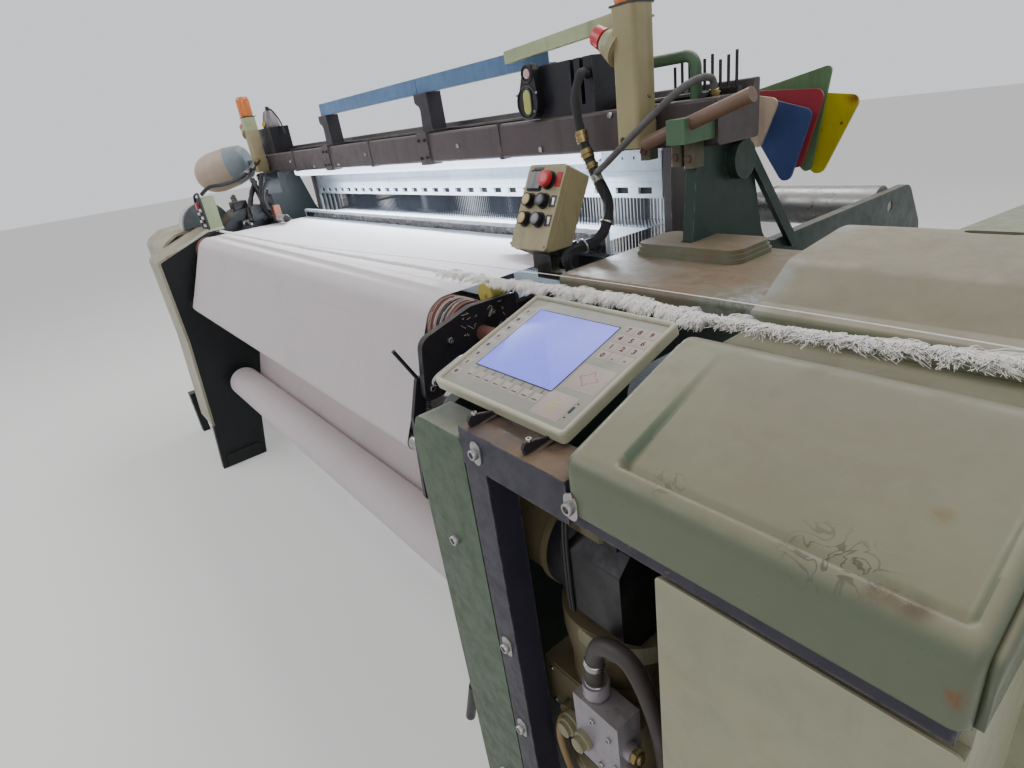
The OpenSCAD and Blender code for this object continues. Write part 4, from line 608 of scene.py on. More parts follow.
class Shape:
    """A mesh put together from small solids, each with its own look."""

    def __init__(self, *looks):
        self.points, self.faces, self.slots, self.looks = [], [], [], looks

    def add(self, points, faces, look=0, frame=None):
        first = len(self.points)
        self.points += [frame @ Vector(p) for p in points] if frame else [Vector(p) for p in points]
        self.faces += [tuple(first + i for i in f) for f in faces]
        self.slots += [look] * len(faces)

    def loft(self, rings, look=0, frame=None, ends=True):
        n, m = len(rings[0]), len(rings)
        faces = [(i * n + k, i * n + (k + 1) % n, (i + 1) * n + (k + 1) % n, (i + 1) * n + k)
                 for i in range(m - 1) for k in range(n)]
        if ends:
            faces += [tuple(range(n - 1, -1, -1)), tuple((m - 1) * n + k for k in range(n))]
        self.add([p for ring in rings for p in ring], faces, look, frame)

    def plate(self, outline, z0, z1, look=0, frame=None, rim=0.5):
        """A plate with its upper edge broken."""
        inner, middle = inset(outline, rim), inset(outline, rim * 0.3)
        self.loft([[(x, y, z0) for x, y in outline], [(x, y, z1 - rim) for x, y in outline],
                   [(x, y, z1 - rim * 0.3) for x, y in middle], [(x, y, z1) for x, y in inner]], look, frame)

    def block(self, x0, x1, y0, y1, z0, z1, look=0, frame=None, rim=0.5):
        self.plate(round_rect(x0, x1, y0, y1, rim, 1), z0, z1, look, frame, rim)

    def lathe(self, profile, look=0, frame=None, n=24):
        """A turned solid from its axis out and back, [radius, height] pairs."""
        self.loft([[(r * math.cos(math.tau * k / n), r * math.sin(math.tau * k / n), z) for k in range(n)]
                   for r, z in profile], look, frame)

    def tube(self, points, r, look=0, n=10, ends=True):
        """A round tube; r may be a number or one number per point."""
        rings = []
        for i, (p, u, v, w) in enumerate(carried(points)):
            s = r if isinstance(r, (int, float)) else r[i]
            rings.append([p + s * (u * math.cos(math.tau * k / n) + v * math.sin(math.tau * k / n))
                          for k in range(n)])
        self.loft(rings, look, ends=ends)

    def ring_nut(self, line, i, r, length, look, n=12, lips=()):
        """A sleeve around a line at its point i, with lips [place, radius] along it."""
        p, u, v, w = carried(line)[i]
        frame = Matrix.Translation(p) @ Matrix((u, v, w)).transposed().to_4x4()
        h = length / 2
        raised = [q for at, lip in lips for q in ((r, at - 1.5), (lip, at - 1), (lip, at + 1), (r, at + 1.5))]
        self.lathe([(r * 0.5, -h), (r - 1, -h), (r, -h + 1)] + raised
                   + [(r, h - 1), (r - 1, h), (r * 0.5, h)], look, frame, n)

    def bolt(self, frame, r=8.0, look=0, washer=None, washer_look=0, socket=True):
        """A cap screw, on an oval washer [w, h] where one is given."""
        z = 0.0
        if washer:
            self.plate(slot_outline(*washer), 0, 2.5, washer_look, frame, 0.6)
            z = 2.4
        if socket:
            self.lathe([(0.01, z), (r, z), (r, z + r * 0.75), (r * 0.9, z + r * 0.9), (r * 0.58, z + r * 0.9),
                        (r * 0.52, z + r * 0.35), (0.01, z + r * 0.3)], look, frame, 18)
        else:
            self.plate(circle(r, 6), z, z + r * 0.7, look, frame, r * 0.12)

    def bolts(self, normal, places, *how):
        """The same screw at several places, all facing one way."""
        for place in places:
            self.bolt(facing(place, normal, Y if normal == Z else Z), *how)

    def patch(self, x0, x1, y0, y1, z, look, frame):
        """A thin printed bar."""
        self.add([(x0, y0, z), (x1, y0, z), (x1, y1, z), (x0, y1, z)], [(0, 1, 2, 3)], look, frame)

    def hoop(self, outline, z, r, look, n, frame):
        """A round rim along a closed outline."""
        loop = [frame @ Vector((x, y, z)) for x, y in outline]
        self.tube(loop + loop[:2], r, look, n, ends=False)

    def text(self, body, size, x, y, z, look=0, frame=None):
        """Raised generic digits and signs."""
        curve = bpy.data.curves.new("sign", "FONT")
        curve.body, curve.size, curve.align_x, curve.align_y = body, size, "CENTER", "CENTER"
        curve.resolution_u = 2
        curve.offset = size * 0.045
        holder = bpy.data.objects.new("sign", curve)
        mesh = bpy.data.meshes.new_from_object(holder)
        faces = [tuple(p.vertices) for p in mesh.polygons]
        self.add([(v.co.x + x, v.co.y + y, z) for v in mesh.vertices], faces, look, frame)
        bpy.data.objects.remove(holder)
        bpy.data.curves.remove(curve)
        bpy.data.meshes.remove(mesh)

    def done(self, name, body=FIXED, replaces=(), angle=35.0, twist=None):
        mesh = bpy.data.meshes.new(name)
        mesh.from_pydata([p / 1000 for p in self.points], [], self.faces)
        for look in self.looks:
            mesh.materials.append(LOOKS[look])
        mesh.polygons.foreach_set("material_index", self.slots)
        mesh.shade_smooth()
        mesh.set_sharp_from_angle(angle=math.radians(angle))
        piece = bpy.data.objects.new(name, mesh)
        bpy.context.scene.collection.objects.link(piece)
        if twist:
            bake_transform(piece)
        else:
            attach(piece, body)
        if replaces:
            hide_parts(*replaces)
        return piece


rng = random.Random(7)

# Sizes that the pieces share with the frame
CLOTH_X0, CLOTH_X1 = -1234.0, 820.0
PATH_Z, FELL_Y, SKIN = 1166.0, -210.0, 1.3
BREAST, BAR, TAKEUP, ROLL = (-650, 1102.7, 62), (-794, 870, 20), (-600, 770, 60), (-700, 440, 74)
BACK, BEAM = (700, 1104.7, 60), (540, 480, 300)
HEALD_Y, HEALD_T, HEALD_TOP, HOLE_W = [20 + 24 * i for i in range(5)], 11, 1370, 46
YARN_R, FRONT = 0.72, -944
COVER_TOP, COVER_BEND_Y, COVER_FALL = 1238.5, -722, 0.34


def sheet_line(chain, step=6.0):
    """Middle line of a sheet over circles [y, z, signed radius]: the points and the distance along them."""
    def tangent(a, b):
        d = Vector((b[0] - a[0], b[1] - a[1]))
        return math.atan2(d.y, d.x) + math.acos((a[2] - b[2]) / d.length)
    points = []
    for i, (y, z, r) in enumerate(chain):
        a0 = tangent(chain[i - 1], chain[i]) if i else tangent(chain[0], chain[1])
        a1 = tangent(chain[i], chain[i + 1]) if i < len(chain) - 1 else a0
        turn = (a1 - a0) % math.tau
        turn = 0 if not r or not turn else (turn - math.tau if r > 0 else turn)
        n = 0 if not turn else max(1, math.ceil(abs(turn) / math.radians(step)))
        angles = [a0 + (turn * k / n if n else 0) for k in range(n + 1)]
        points += [Vector((y + r * math.cos(a), z + r * math.sin(a))) for a in angles]
    out, run = [(points[0], 0.0)], 0.0
    for a, b in zip(points, points[1:]):
        n = max(1, int((b - a).length / 12))
        for k in range(1, n + 1):
            out.append((a.lerp(b, k / n), run + (b - a).length * k / n))
        run += (b - a).length
    return out


def wave(x, y, *parts):
    return sum(a * math.sin(x * kx + y * ky + p) for a, kx, ky, p in parts)


# Cables held by their glands
HARNESS = [(861, -210, 1560), (862, -234, 1560), (868, -262, 1510), (882, -262, 1424), (914, -264, 1354),
           (950, -266, 1284), (954, -304, 1224), (942, -396, 1204), (942, -394, 1164)]
CONDUIT = [(914, -264, 1354), (984, -296, 1382), (1080, -304, 1442), (1152, -260, 1504), (1162, -190, 1514),
           (1162, -176, 1480)]
HOSE = [(1458, -898, 706), (1458, -898, 780), (1476, -898, 832), (1524, -894, 836), (1554, -886, 760),
        (1558, -872, 640), (1556, -864, 460), (1556, -864, 270), (1556, -864, 84)]
LEAD = [(1368, -890, 590), (1368, -904, 586), (1370, -910, 540), (1378, -892, 400), (1380, -874, 260),
        (1384, -874, 84)]
cables = Shape("cable_black", "brass", "cable_grey", "motor_lead", "bright_steel", "hose_brown")
harness = spline(HARNESS, 8)
swell = [10.5 + 1.8 * math.sin(0.9 * i) * (0.4 if i < 26 else 1.0) for i in range(len(harness))]
cables.tube(harness, swell, 0, 12)
for k, (r, off) in enumerate(((4.6, 9.5), (3.8, 10.5), (4.2, 10.0), (3.4, 11.0))):
    strand = []
    for i, (p, u, v, w) in enumerate(carried(harness[22:62])):
        a = k * math.tau / 4 + i * 0.07
        strand.append(p + (off - 1.5) * (u * math.cos(a) + v * math.sin(a)))
    cables.tube(strand, r, 2 if k == 1 else 0, 8)
for i, r, length, lips in ((23, 13.5, 26, ((-6, 15.5), (6, 15.5))), (27, 14.5, 22, ((0, 17),)),
                           (30, 13, 14, ((0, 15),))):
    cables.ring_nut(harness, i, r, length, 1, 14, lips)
cables.ring_nut(harness, 33, 12.5, 18, 4, 14, ((0, 14),))
for i in (44, 52):
    cables.ring_nut(harness, i, 16.5, 5, 4, 16)
conduit = spline(CONDUIT, 8)
cables.tube(conduit, 7, 2, 12)
cables.ring_nut(conduit, 39, 10, 22, 1, 12, ((-4, 12),))
hose = spline(HOSE, 8)
cables.tube(hose, 13, 5, 16)
cables.ring_nut(hose, 9, 15, 12, 4, 16, ((0, 16),))
cables.ring_nut(hose, 46, 17, 44, 2, 16, ((-14, 19), (0, 20), (14, 19)))
cables.tube(spline(LEAD, 8), 6, 3, 12)
cables.done("cable_runs", replaces=["cables"])

# Waste selvedge rope with its fringe
ROPE = [(-1294, -576, 1177), (-207, -578, 1179), (760, -574, 1186.3), (898, -574, 1186.3), (1235, -588, 1204),
        (1495, -634, 1216), (1775, -638, 1230), (1910, -638, 1230)]
rope_line = spline(ROPE, 48)
rope = Shape("rope_white")
frames = carried(rope_line)
for twist in range(3):
    line = []
    for i, (p, u, v, w) in enumerate(frames):
        a = twist * math.tau / 3 + p.x * 0.10
        line.append(p + 3.0 * (u * math.cos(a) + v * math.sin(a)))
    rope.tube(line, [3.2 + 0.5 * math.sin(i * 1.7 + twist) for i in range(len(line))], 0, 7)


def rope_at(x):
    for a, b in zip(rope_line, rope_line[1:]):
        if a.x <= x <= b.x:
            return a.lerp(b, (x - a.x) / max(1e-6, b.x - a.x))
    return rope_line[-1].copy()


def cover_height(y):
    """Highest surface under the fringe at the front cover's rear edge."""
    return COVER_TOP if y > COVER_BEND_Y else COVER_TOP - (COVER_BEND_Y - y) * COVER_FALL


fringe = Shape("rope_white")


def strand(root, tip, curl, thick):
    """One fibre from the rope, lying on the cover where it reaches that far."""
    line = []
    for i in range(4):
        t = i / 3
        q = root.lerp(tip, t) + curl * math.sin(math.pi * t) + Vector((0, 0, 5 * t - 7 * t * t))
        if q.x > 1470 and q.y < -640:
            q.z = max(q.z, cover_height(q.y) + 1.5 + curl.z) if q.y < -708 else max(q.z, root.z + 10 * t)
        line.append(q)
    if max(q.x for q in line) < 1966:
        fringe.tube(line, [thick, thick * 0.85, thick * 0.6, thick * 0.25], 0, 3, ends=False)


for k in range(1300):
    x = -1250 + 1980 * rng.random()
    p = rope_at(x)
    tip = p + Vector((rng.uniform(-5, 8), rng.uniform(-13, 6), rng.uniform(-4, 7)))
    strand(p, tip, Vector((0, 0, 1)), 0.6)
for lock in range(430):
    x = 705 + 1195 * rng.random() ** 0.8
    rich = max(0.0, min(1.0, (x - 1250) / 450))
    front = -1 if rng.random() < 0.88 else 0.4
    reach = rng.uniform(20, 36) + rich * rng.uniform(6, 30)
    tip = rope_at(x) + Vector((reach * rng.uniform(0.05, 0.75), front * reach, rng.uniform(-6, 6)))
    for hair in range(17):
        root = rope_at(x + rng.uniform(-13, 13)) + Vector((0, rng.uniform(-7, 5), rng.uniform(-4, 6)))
        end = root.lerp(tip, rng.uniform(0.75, 1.1))
        end += Vector((rng.uniform(-6, 6), rng.uniform(-5, 5), rng.uniform(-2, 4)))
        curl = Vector((rng.uniform(-3, 3), rng.uniform(-2, 2), rng.uniform(0, 4)))
        strand(root, end, curl, rng.uniform(0.7, 1.25))
THREAD = [(-1299, -596, 1180), (-200, -604, 1196), (900, -600, 1226), (1500, -618, 1240), (1911, -630, 1240)]
rope.tube(spline(THREAD, 20), 0.7, 0, 5)
rope.done("selvedge_rope", replaces=["waste_rope"])
fringe.done("selvedge_fringe")

# Cloth from the fell to the roll
def grid_faces(rows, n):
    """Faces of a grid of points, n in a row."""
    return [(i * n + k, i * n + k + 1, (i + 1) * n + k + 1, (i + 1) * n + k) for i in range(rows - 1)
            for k in range(n - 1)]


cloth_chain = [(FELL_Y - 0.5, PATH_Z, 0), (BREAST[0], BREAST[1], -BREAST[2] - SKIN),
               (BAR[0], BAR[1], -BAR[2] - SKIN), (TAKEUP[0], TAKEUP[1], TAKEUP[2] + SKIN),
               (ROLL[0], ROLL[1], ROLL[2] + SKIN)]
cloth_line = sheet_line(cloth_chain)
cloth = Shape("cloth_white")
columns = 206
grid = []
for i, (p, run) in enumerate(cloth_line):
    a, b = cloth_line[max(i - 1, 0)][0], cloth_line[min(i + 1, len(cloth_line) - 1)][0]
    along = (b - a).normalized()
    out = Vector((-along.y, along.x))
    free = min(1.0, max(0.0, min(abs(run - 452), abs(run - 1005)) / 60)) if 500 < run < 740 else 0.12
    row = []
    for k in range(columns + 1):
        x = CLOTH_X0 + (CLOTH_X1 - CLOTH_X0) * k / columns
        crease = wave(x, run, (0.55, 0.021, 0.004, 0.3), (0.35, 0.047, -0.006, 1.1),
                      (0.22, 0.093, 0.009, 2.0))
        q = p + out * crease * free
        row.append((x, q.x, q.y))
    grid += row
cloth.add(grid, grid_faces(len(cloth_line), columns + 1))
cloth_piece = cloth.done("woven_cloth", replaces=["cloth"], angle=180)

# Warp yarns, healds and reed wires
PITCH = 2.5
COUNT = int((CLOTH_X1 - CLOTH_X0) / PITCH)
rear_chain = [(124, PATH_Z, 0), (BACK[0], BACK[1], BACK[2] + SKIN), (BEAM[0], BEAM[1], BEAM[2] + SKIN)]
rear_line = [p for p, run in sheet_line(rear_chain, 12.0)]


YARN_SECTION = [(YARN_R * math.cos(t), YARN_R * math.sin(t))
                for t in (math.pi / 2, math.pi * 7 / 6, math.pi * 11 / 6)]
EYE = ((0, 1159), (1.3, 1163), (1.3, 1169), (0, 1173))  # half width and height of a heald's eye


def yarns(name, frames_used, line_of, twist):
    made = Shape("warp_yarn")
    for k in range(COUNT):
        if k % 5 in frames_used:
            x = CLOTH_X0 + (k + 0.5) * PITCH
            line = line_of(HEALD_Y[k % 5] + 5.5)
            rings = []
            for i, p in enumerate(line):
                d = (line[min(i + 1, len(line) - 1)] - line[max(i - 1, 0)]).normalized()
                up = Vector((-d.y, d.x))
                rings.append([(x + w, p.x + h * up.x, p.y + h * up.y) for w, h in YARN_SECTION])
            made.loft(rings, ends=False)
    return made.done(name, replaces=["warp_sheet"], angle=180, twist=twist)


def front_run(eye):
    return [Vector((FELL_Y + (eye - FELL_Y) * t / 8, PATH_Z)) for t in range(9)]


def rear_run(eye):
    lead = [Vector((eye + (700 - eye) * t / 8, PATH_Z)) for t in range(8)]
    return lead + [p for p in rear_line if p.x > 690 or p.y < 1160][::2]


def upright(x, y, dx, dy, z):
    """Section of an upright flat wire."""
    return [(x - dx, y - dy, z), (x + dx, y - dy, z), (x + dx, y + dy, z), (x - dx, y + dy, z)]


for label, used, body in (("odd", (0, 2, 4), "heald_odd"), ("even", (1, 3), "heald_even")):
    yarns("warp_front_" + label, used, front_run, (FIXED, body, (0, -0.210, 1.166), (0, 0.020, 1.166)))
    yarns("warp_rear_" + label, used, rear_run, (body, FIXED, (0, 0.128, 1.166), (0, 0.700, 1.166)))
    healds = Shape("heald_wire")
    for k in range(COUNT):
        if k % 5 in used:
            x, y = CLOTH_X0 + (k + 0.5) * PITCH, HEALD_Y[k % 5] + 5.5
            for z0, z1 in ((984, 1160), (1172, 1252)):
                healds.loft([upright(x, y, 0.35, 1.1, z) for z in (z0, z1)], ends=False)
            for s in (-1, 1):
                healds.loft([upright(x + s * w, y, 0.3, 0.8, z) for w, z in EYE], ends=False)
    healds.done("heald_wires_" + label, body)
    rails = Shape("rail_white", "heald_alloy", "cap_black", "bright_steel")
    for i in used:
        y, x0, x1 = HEALD_Y[i], -1480.0, 900.0
        back = y + HEALD_T
        if i:
            rails.block(x0, x1, y, back, 1250, HEALD_TOP, 0, None, 1)
        else:
            holes = [x0 + 60 + 82 * n for n in range(28)]
            rails.block(x0, x1, y, back, 1248, 1258, 0, None, 1)
            rails.block(x0, x1, y, back, 1276, HEALD_TOP, 0, None, 1)
            for a, b in zip([x0] + [h + HOLE_W for h in holes], holes + [x1]):
                rails.block(a, b, y, back, 1257, 1277, 0, None, 0.2)
            # Painted shade: a dark plate behind the windows of the front frame, so they show black
            rails.block(x0 + 20, x1 - 20, back + 0.2, back + 1, 1252, 1282, 2, None, 0.2)
            # Painted shade: thin dark ovals drawn on the rail in place of its slots
            for n in range(56):
                rails.plate(slot_outline(5, 9), 0, 0.4, 2, facing((x0 + 50 + 41 * n, y - 0.02, 1352), -Y),
                            0.1)
            for z, r in ((1318, 1.6), (1290, 0.8)):
                rails.tube([Vector((x0 + 4, y, z)), Vector((x1 - 4, y, z))], r, 1, 6)
        rails.block(x0, x1, y, back, 925, 985, 1, None, 1)
        for x in (x0, x1 - 26):
            rails.block(x, x + 26, y, back, 926, HEALD_TOP - 1, 1, None, 1)
            rails.bolts(-Y, [(x + 13, y, z) for z in (950, 1250, 1340)], 4, 3)
    rails.done("heald_rails_" + label, body, replaces=["heald_frames_" + label])

reed = Shape("bright_steel", "heald_alloy")
for k in range(int((CLOTH_X1 - CLOTH_X0 + 20) / PITCH)):
    x = CLOTH_X0 - 2 + k * PITCH
    reed.loft([upright(x, -157.5, 0.3, 4.0, z) for z in (1140, 1192)], ends=False)
reed.block(CLOTH_X0 - 6, CLOTH_X1 + 20, -166, -149, 1117, 1141, 1)
reed.block(CLOTH_X0 - 6, CLOTH_X1 + 20, -165, -150, 1191, 1203, 1)
for x in (CLOTH_X0 - 6, CLOTH_X1 + 15):
    reed.block(x, x + 5, -164, -151, 1140, 1192, 1)
reed.bolts(-Y, [(x, -166, 1129) for x in range(-1180, 820, 250)], 3.5, 0)
reed.done("fine_reed", "sley", replaces=["reed"])

# Terminal
T = tilted((1161, -900, 1149), 17.5)
term = Shape("face_grey", "key_pale", "mark_dark", "mark_grey", "screen", "mark_red", "mark_yellow",
             "cap_black")
term.plate(round_rect(7.4, 278.6, 9.4, 227.6, 4.6), -3.0, -1.2, 0, T, 0.3)
term.plate(round_rect(39, 210, 57, 205, 2.0), -1.4, -0.9, 7, T, 0.2)
term.plate(round_rect(41, 208, 59, 203, 1.0), -1.1, -0.75, 4, T, 0.1)
for row, keys in enumerate(("789", "456", "123", "0.-")):
    for col, key in enumerate(keys):
        x, y = 226 + 20 * col, 202 - 19.2 * row
        term.plate(round_rect(x - 9.4, x + 9.4, y - 9.0, y + 9.0, 1.2, 2), -1.4, -0.95, 1, T, 0.2)
        term.text(key, 12.5, x - 1, y, -0.85, 2, T)


def arrow(x, y, turn, size, look):
    """An open arrow head pointing along turn, in degrees."""
    c, s = math.cos(math.radians(turn)), math.sin(math.radians(turn))
    for side in (-1, 1):
        a, b = Vector((0, 0)), Vector((-size, side * size * 0.62))
        d = (b - a).normalized() * 0.001
        w = Vector((-d.y, d.x)).normalized() * 0.55
        quad = [a + w, a - w, b - w, b + w]
        quad = [(x + c * p.x - s * p.y, y + s * p.x + c * p.y, -0.85) for p in quad]
        term.add(quad, [(0, 1, 2, 3) if side > 0 else (3, 2, 1, 0)], look, T)


term.plate(round_rect(214, 271, 72, 122, 1.5, 2), -1.4, -0.95, 1, T, 0.2)
for x, y, turn_deg in ((242, 112, 90), (242, 82, -90), (226, 97, 180), (259, 97, 0)):
    arrow(x, y, turn_deg, 9, 5)
term.plate(round_rect(207, 258, 16, 62, 1.5, 2), -1.4, -0.95, 1, T, 0.2)
for x, y, turn_deg in ((232, 53, 90), (232, 25, -90), (217, 39, 180), (249, 39, 0)):
    arrow(x, y, turn_deg, 6, 6)
for k in range(4):
    x, y = 225 + 7 * (k % 2), 35 + 6 * (k // 2)
    term.plate(round_rect(x, x + 5, y, y + 4, 0.6, 1), -1.0, -0.85, 6, T, 0.1)
for k in range(8):
    y = 193 - 22.9 * k
    term.plate(round_rect(10, 30, y - 8, y + 8, 1.4, 2), -1.4, -1.0, 1, T, 0.15)
    term.patch(17, 21 + (k % 3), y - 3, y + 3, -0.9, 3, T)
    if k % 3 == 1:
        term.lathe([(0.01, -1.0), (3.6, -1.0), (3.6, -0.88), (2.6, -0.88), (2.6, -1.0), (0.01, -1.0)], 3,
            T @ Matrix.Translation((19, y, 0)), 14)
    x = 50 + 21 * k
    term.plate(round_rect(x - 8.2, x + 8.2, 31, 48, 1.2, 2), -1.4, -0.95, 1, T, 0.2)
    term.patch(x - 5, x + 5, 35, 37, -0.85, 3, T)
    term.patch(x - 0.6, x + 0.6, 48, 57, -0.9, 3, T)
term.plate([(x + 262, y + 42) for x, y in slot_outline(4.4, 13)], -1.3, -0.9, 7, T, 0.1)
for x, y in ((263, 54), (262.5, 28)):
    term.plate(circle(1.5, 10, x, y), -1.3, -0.9, 7, T, 0.1)
term.done("terminal_front")

rim = Shape("terminal_cream", "bracket_black", "bright_steel")
rim.hoop(round_rect(3.4, 282.6, 3.4, 231.6, 6.0, 6), 0.1, 3.3, 0, 10, T)
F = tilted((1158, -900, 1149), 17.5)
clamp = [F @ Vector((-4 + 0.30 * z, y + 34, -9 + z * 0.6)) for z, y in slot_outline(26, 66, 10)]
rim.tube(clamp + clamp[:2], 3.6, 2, 8, ends=False)
rim.block(-9, -1, 4, 64, -15, -6, 1, F, 1.5)
for x in (1301, 1414):
    rim.loft([[(x + dx, y, z) for y, z in ((-936, 1130.4), (-890, 1130.4), (-890, 1136.4), (-918, 1144),
                                           (-934, 1146), (-938, 1140))] for dx in (0, 5)], 1)
    rim.bolt(facing((x + 2.5, -926, 1145.4), Z, Y), 4.0, 2)
rim.done("terminal_rim")

# Control box
B = tilted((802, -446, 1222), 62)
box = Shape("cap_black", "bright_steel", "mark_stop", "mark_plate", "box_beige")
for x, y in ((32, 108), (78, 108), (32, 66), (78, 66)):
    box.lathe([(9.2, -0.2), (18, -0.2), (18, 2.2), (17, 3), (15.2, 3), (15.2, 5.6), (9.2, 5.6)], 0,
        B @ Matrix.Translation((x, y, 0)), 28)
box.lathe([(9.2, -0.2), (21, -0.2), (21, 2.6), (20, 3.4), (17, 3.4), (16.4, 5.6), (9.2, 5.6)], 0,
    B @ Matrix.Translation((78, 154, 0)), 28)
box.plate(round_rect(99, 117, 140, 172, 1.5, 2), 0, 1.0, 2, B, 0.3)
for y in (108, 66):
    box.plate(round_rect(98, 116, y - 13, y + 13, 1.5, 2), 0, 1.0, 3, B, 0.3)
    box.plate(round_rect(103, 112, y - 8, y + 8, 1.0, 2), 0.9, 1.4, 1, B, 0.2)
box.hoop(round_rect(11.5, 56.5, 131.5, 176.5, 4.0, 4), 0.4, 2.2, 0, 8, B)
box.plate(round_rect(18, 52, 178.6, 183.6, 1.0, 2), 0, 0.8, 3, B, 0.2)
for x, y in ((7, 7), (115, 7), (7, 183), (115, 183)):
    box.bolt(B @ Matrix.Translation((x, y, -0.4)), 2.4, 1)
box.hoop(round_rect(-0.3, 122.3, -0.3, 190.3, 8.2, 5), -14, 0.8, 4, 6, B)
box.done("control_fittings")
caps = {"control_start": "button_yellow", "control_forward": "button_yellow", "control_slow": "button_dark",
    "control_reverse": "button_white"}
places = {"control_start": (32, 108), "control_slow": (78, 108), "control_forward": (32, 66),
          "control_reverse": (78, 66)}
for node, (x, y) in places.items():
    cap = Shape("cap_black", caps[node])
    F = B @ Matrix.Translation((x, y, 0))
    cap.lathe([(14.05, 6.4), (15.0, 6.4), (15.0, 15.2), (14.4, 16.4), (12.8, 16.4), (12.6, 15.1),
               (14.05, 15.0)], 0, F, 32)
    cap.lathe([(0.01, 15.02), (12.5, 15.02), (12.2, 16.0), (10.5, 16.8), (6.0, 17.2), (0.01, 17.3)], 1, F, 32)
    cap.done(node + "_cap", node + "_b")
stop = Shape("button_red", "cap_black")
F = B @ Matrix.Translation((78, 154, 0))
stop.lathe([(0.01, 18.02), (17.4, 18.02), (17.0, 20.0), (14.0, 21.6), (8.0, 22.3), (0.01, 22.5)], 0, F, 36)
stop.lathe([(18.05, 6.4), (19.0, 6.4), (19.0, 10.4), (18.05, 10.6)], 1, F, 36)
stop.done("control_stop_cap", "control_stop_b")

# Bolts of the service bay and the right frame
bolts = Shape("bright_steel", "bright_steel")
bolts.bolts(-Y, [(1311, FRONT, z) for z in (742, 552)], 8.5, 0, (23, 38), 1)
bolts.bolts(-Y, [(x, FRONT, 1101) for x in (1322, 1502)], 8.0, 0, (21, 36), 1)
bolts.bolts(-Y, [(1213, FRONT, z) for z in (160, 330, 900)], 9.0, 0)
bolts.bolts(X, [(1168, y, z) for y, z in ((-700, 900), (-540, 640), (-500, 360), (-820, 620))], 9.0, 0,
            None, 0, False)
bolts.done("frame_bolts")

# Front cover: a shell with rounded edges and a wedge-shaped tray
COVER_X0, COVER_X1, COVER_Y, EDGE_R = 1495.0, 1870.0, -944.0, 12.0
SLOPE_END = Vector((-720.0, 1236.0))
cover_path = [(Vector((COVER_Y, 1092.0)), 0), (Vector((COVER_Y, 1160.0)), 24.0), (SLOPE_END, 22.0),
              (Vector((-702.0, 1190.0)), 10.0), (Vector((-588.5, 1190.0)), 0)]


def bent(corners, step=3.0):
    """A line with rounded corners [point, radius], cut into short steps: points and outward normals."""
    line = []
    for i, (p, r) in enumerate(corners):
        if not r:
            line.append(p.copy())
            continue
        u, v = (corners[i - 1][0] - p).normalized(), (corners[i + 1][0] - p).normalized()
        half = math.acos(max(-1, min(1, u.dot(v)))) / 2
        a, b = p + u * r / math.tan(half), p + v * r / math.tan(half)
        m = p + (u + v).normalized() * r / math.sin(half)
        for k in range(9):
            t = k / 8
            d = (a - m).lerp(b - m, t).normalized() * r
            line.append(m + d)
    fine = [line[0]]
    for a, b in zip(line, line[1:]):
        n = max(1, round((b - a).length / step))
        fine += [a.lerp(b, k / n) for k in range(1, n + 1)]
    out = []
    for i, p in enumerate(fine):
        d = (fine[min(i + 1, len(fine) - 1)] - fine[max(i - 1, 0)]).normalized()
        out.append((p, Vector((-d.y, d.x))))
    return out


def smooth_step(t):
    t = max(0.0, min(1.0, t))
    return t * t * (3 - 2 * t)


def tray_depth(u, v):
    """Depth of the tray at u across and v up the slope: deepest along the front, none at the back."""
    fall = 9.0 * max(0.0, 1.0 - (v - 22.0) / 190.0)
    left = smooth_step((u - 58.0) / 7.0)
    right = smooth_step((COVER_X1 - COVER_X0 - EDGE_R - u) / 7.0)
    crease = 1.6 * math.exp(-((u - 65.0) / 4.0) ** 2) + 1.6 * math.exp(-((v - 27.0) / 4.0) ** 2)
    front = smooth_step((v - 19.0) / 7.0)
    return (fall + crease * fall / 9.0) * left * right * front


shell = Shape("cover_green")
profile = bent(cover_path)
slope = (SLOPE_END - Vector((COVER_Y, 1160.0))).normalized()
wide = COVER_X1 - COVER_X0
sweep = [EDGE_R * (1 - math.cos(math.pi / 2 * k / 6)) for k in range(7)]
middle = [EDGE_R + (wide - 2 * EDGE_R) * k / 118 for k in range(1, 118)]
across = sweep + middle + [wide - q for q in reversed(sweep)]
rows = []
for p, out in profile:
    v = (p - Vector((COVER_Y, 1160.0))).dot(slope) if p.y > 1162.0 and p.x < -722.0 else -100.0
    row = []
    for u in across:
        side = max(0.0, EDGE_R - min(u, wide - u))
        drop = EDGE_R - math.sqrt(max(0.0, EDGE_R ** 2 - side * side)) if p.x < -700 else 0.0
        drop += tray_depth(u, v) if v > -50 else 0.0
        row.append((COVER_X0 + u, p.x - out.x * drop, p.y - out.y * drop))
    rows.append(row)
m = len(across)
shell.add([q for row in rows for q in row], grid_faces(len(rows), m))
for end, flip in ((0, False), (m - 1, True)):
    edge, low = [], []
    for row in rows:
        x, y, z = row[end]
        if (end == 0 and z < 1132.5 and y < -870) or (edge and abs(y - edge[-1][1]) < 0.4):
            edge[-1:] = [(x, y, z)] if edge else []
            continue
        edge.append((x, y, z))
        low.append((x, y, min(z, 1092.5 if end else 1132.5)))
    n = len(edge)
    shell.add(edge + low, [(k, k + 1, n + k + 1, n + k) if flip else (k + 1, k, n + k, n + k + 1)
                           for k in range(n - 1)])
cover = shell.done("front_shell", replaces=["front_cover"], angle=50)
wall = cover.modifiers.new("wall", "SOLIDIFY")
wall.thickness, wall.offset = 0.006, -1.0

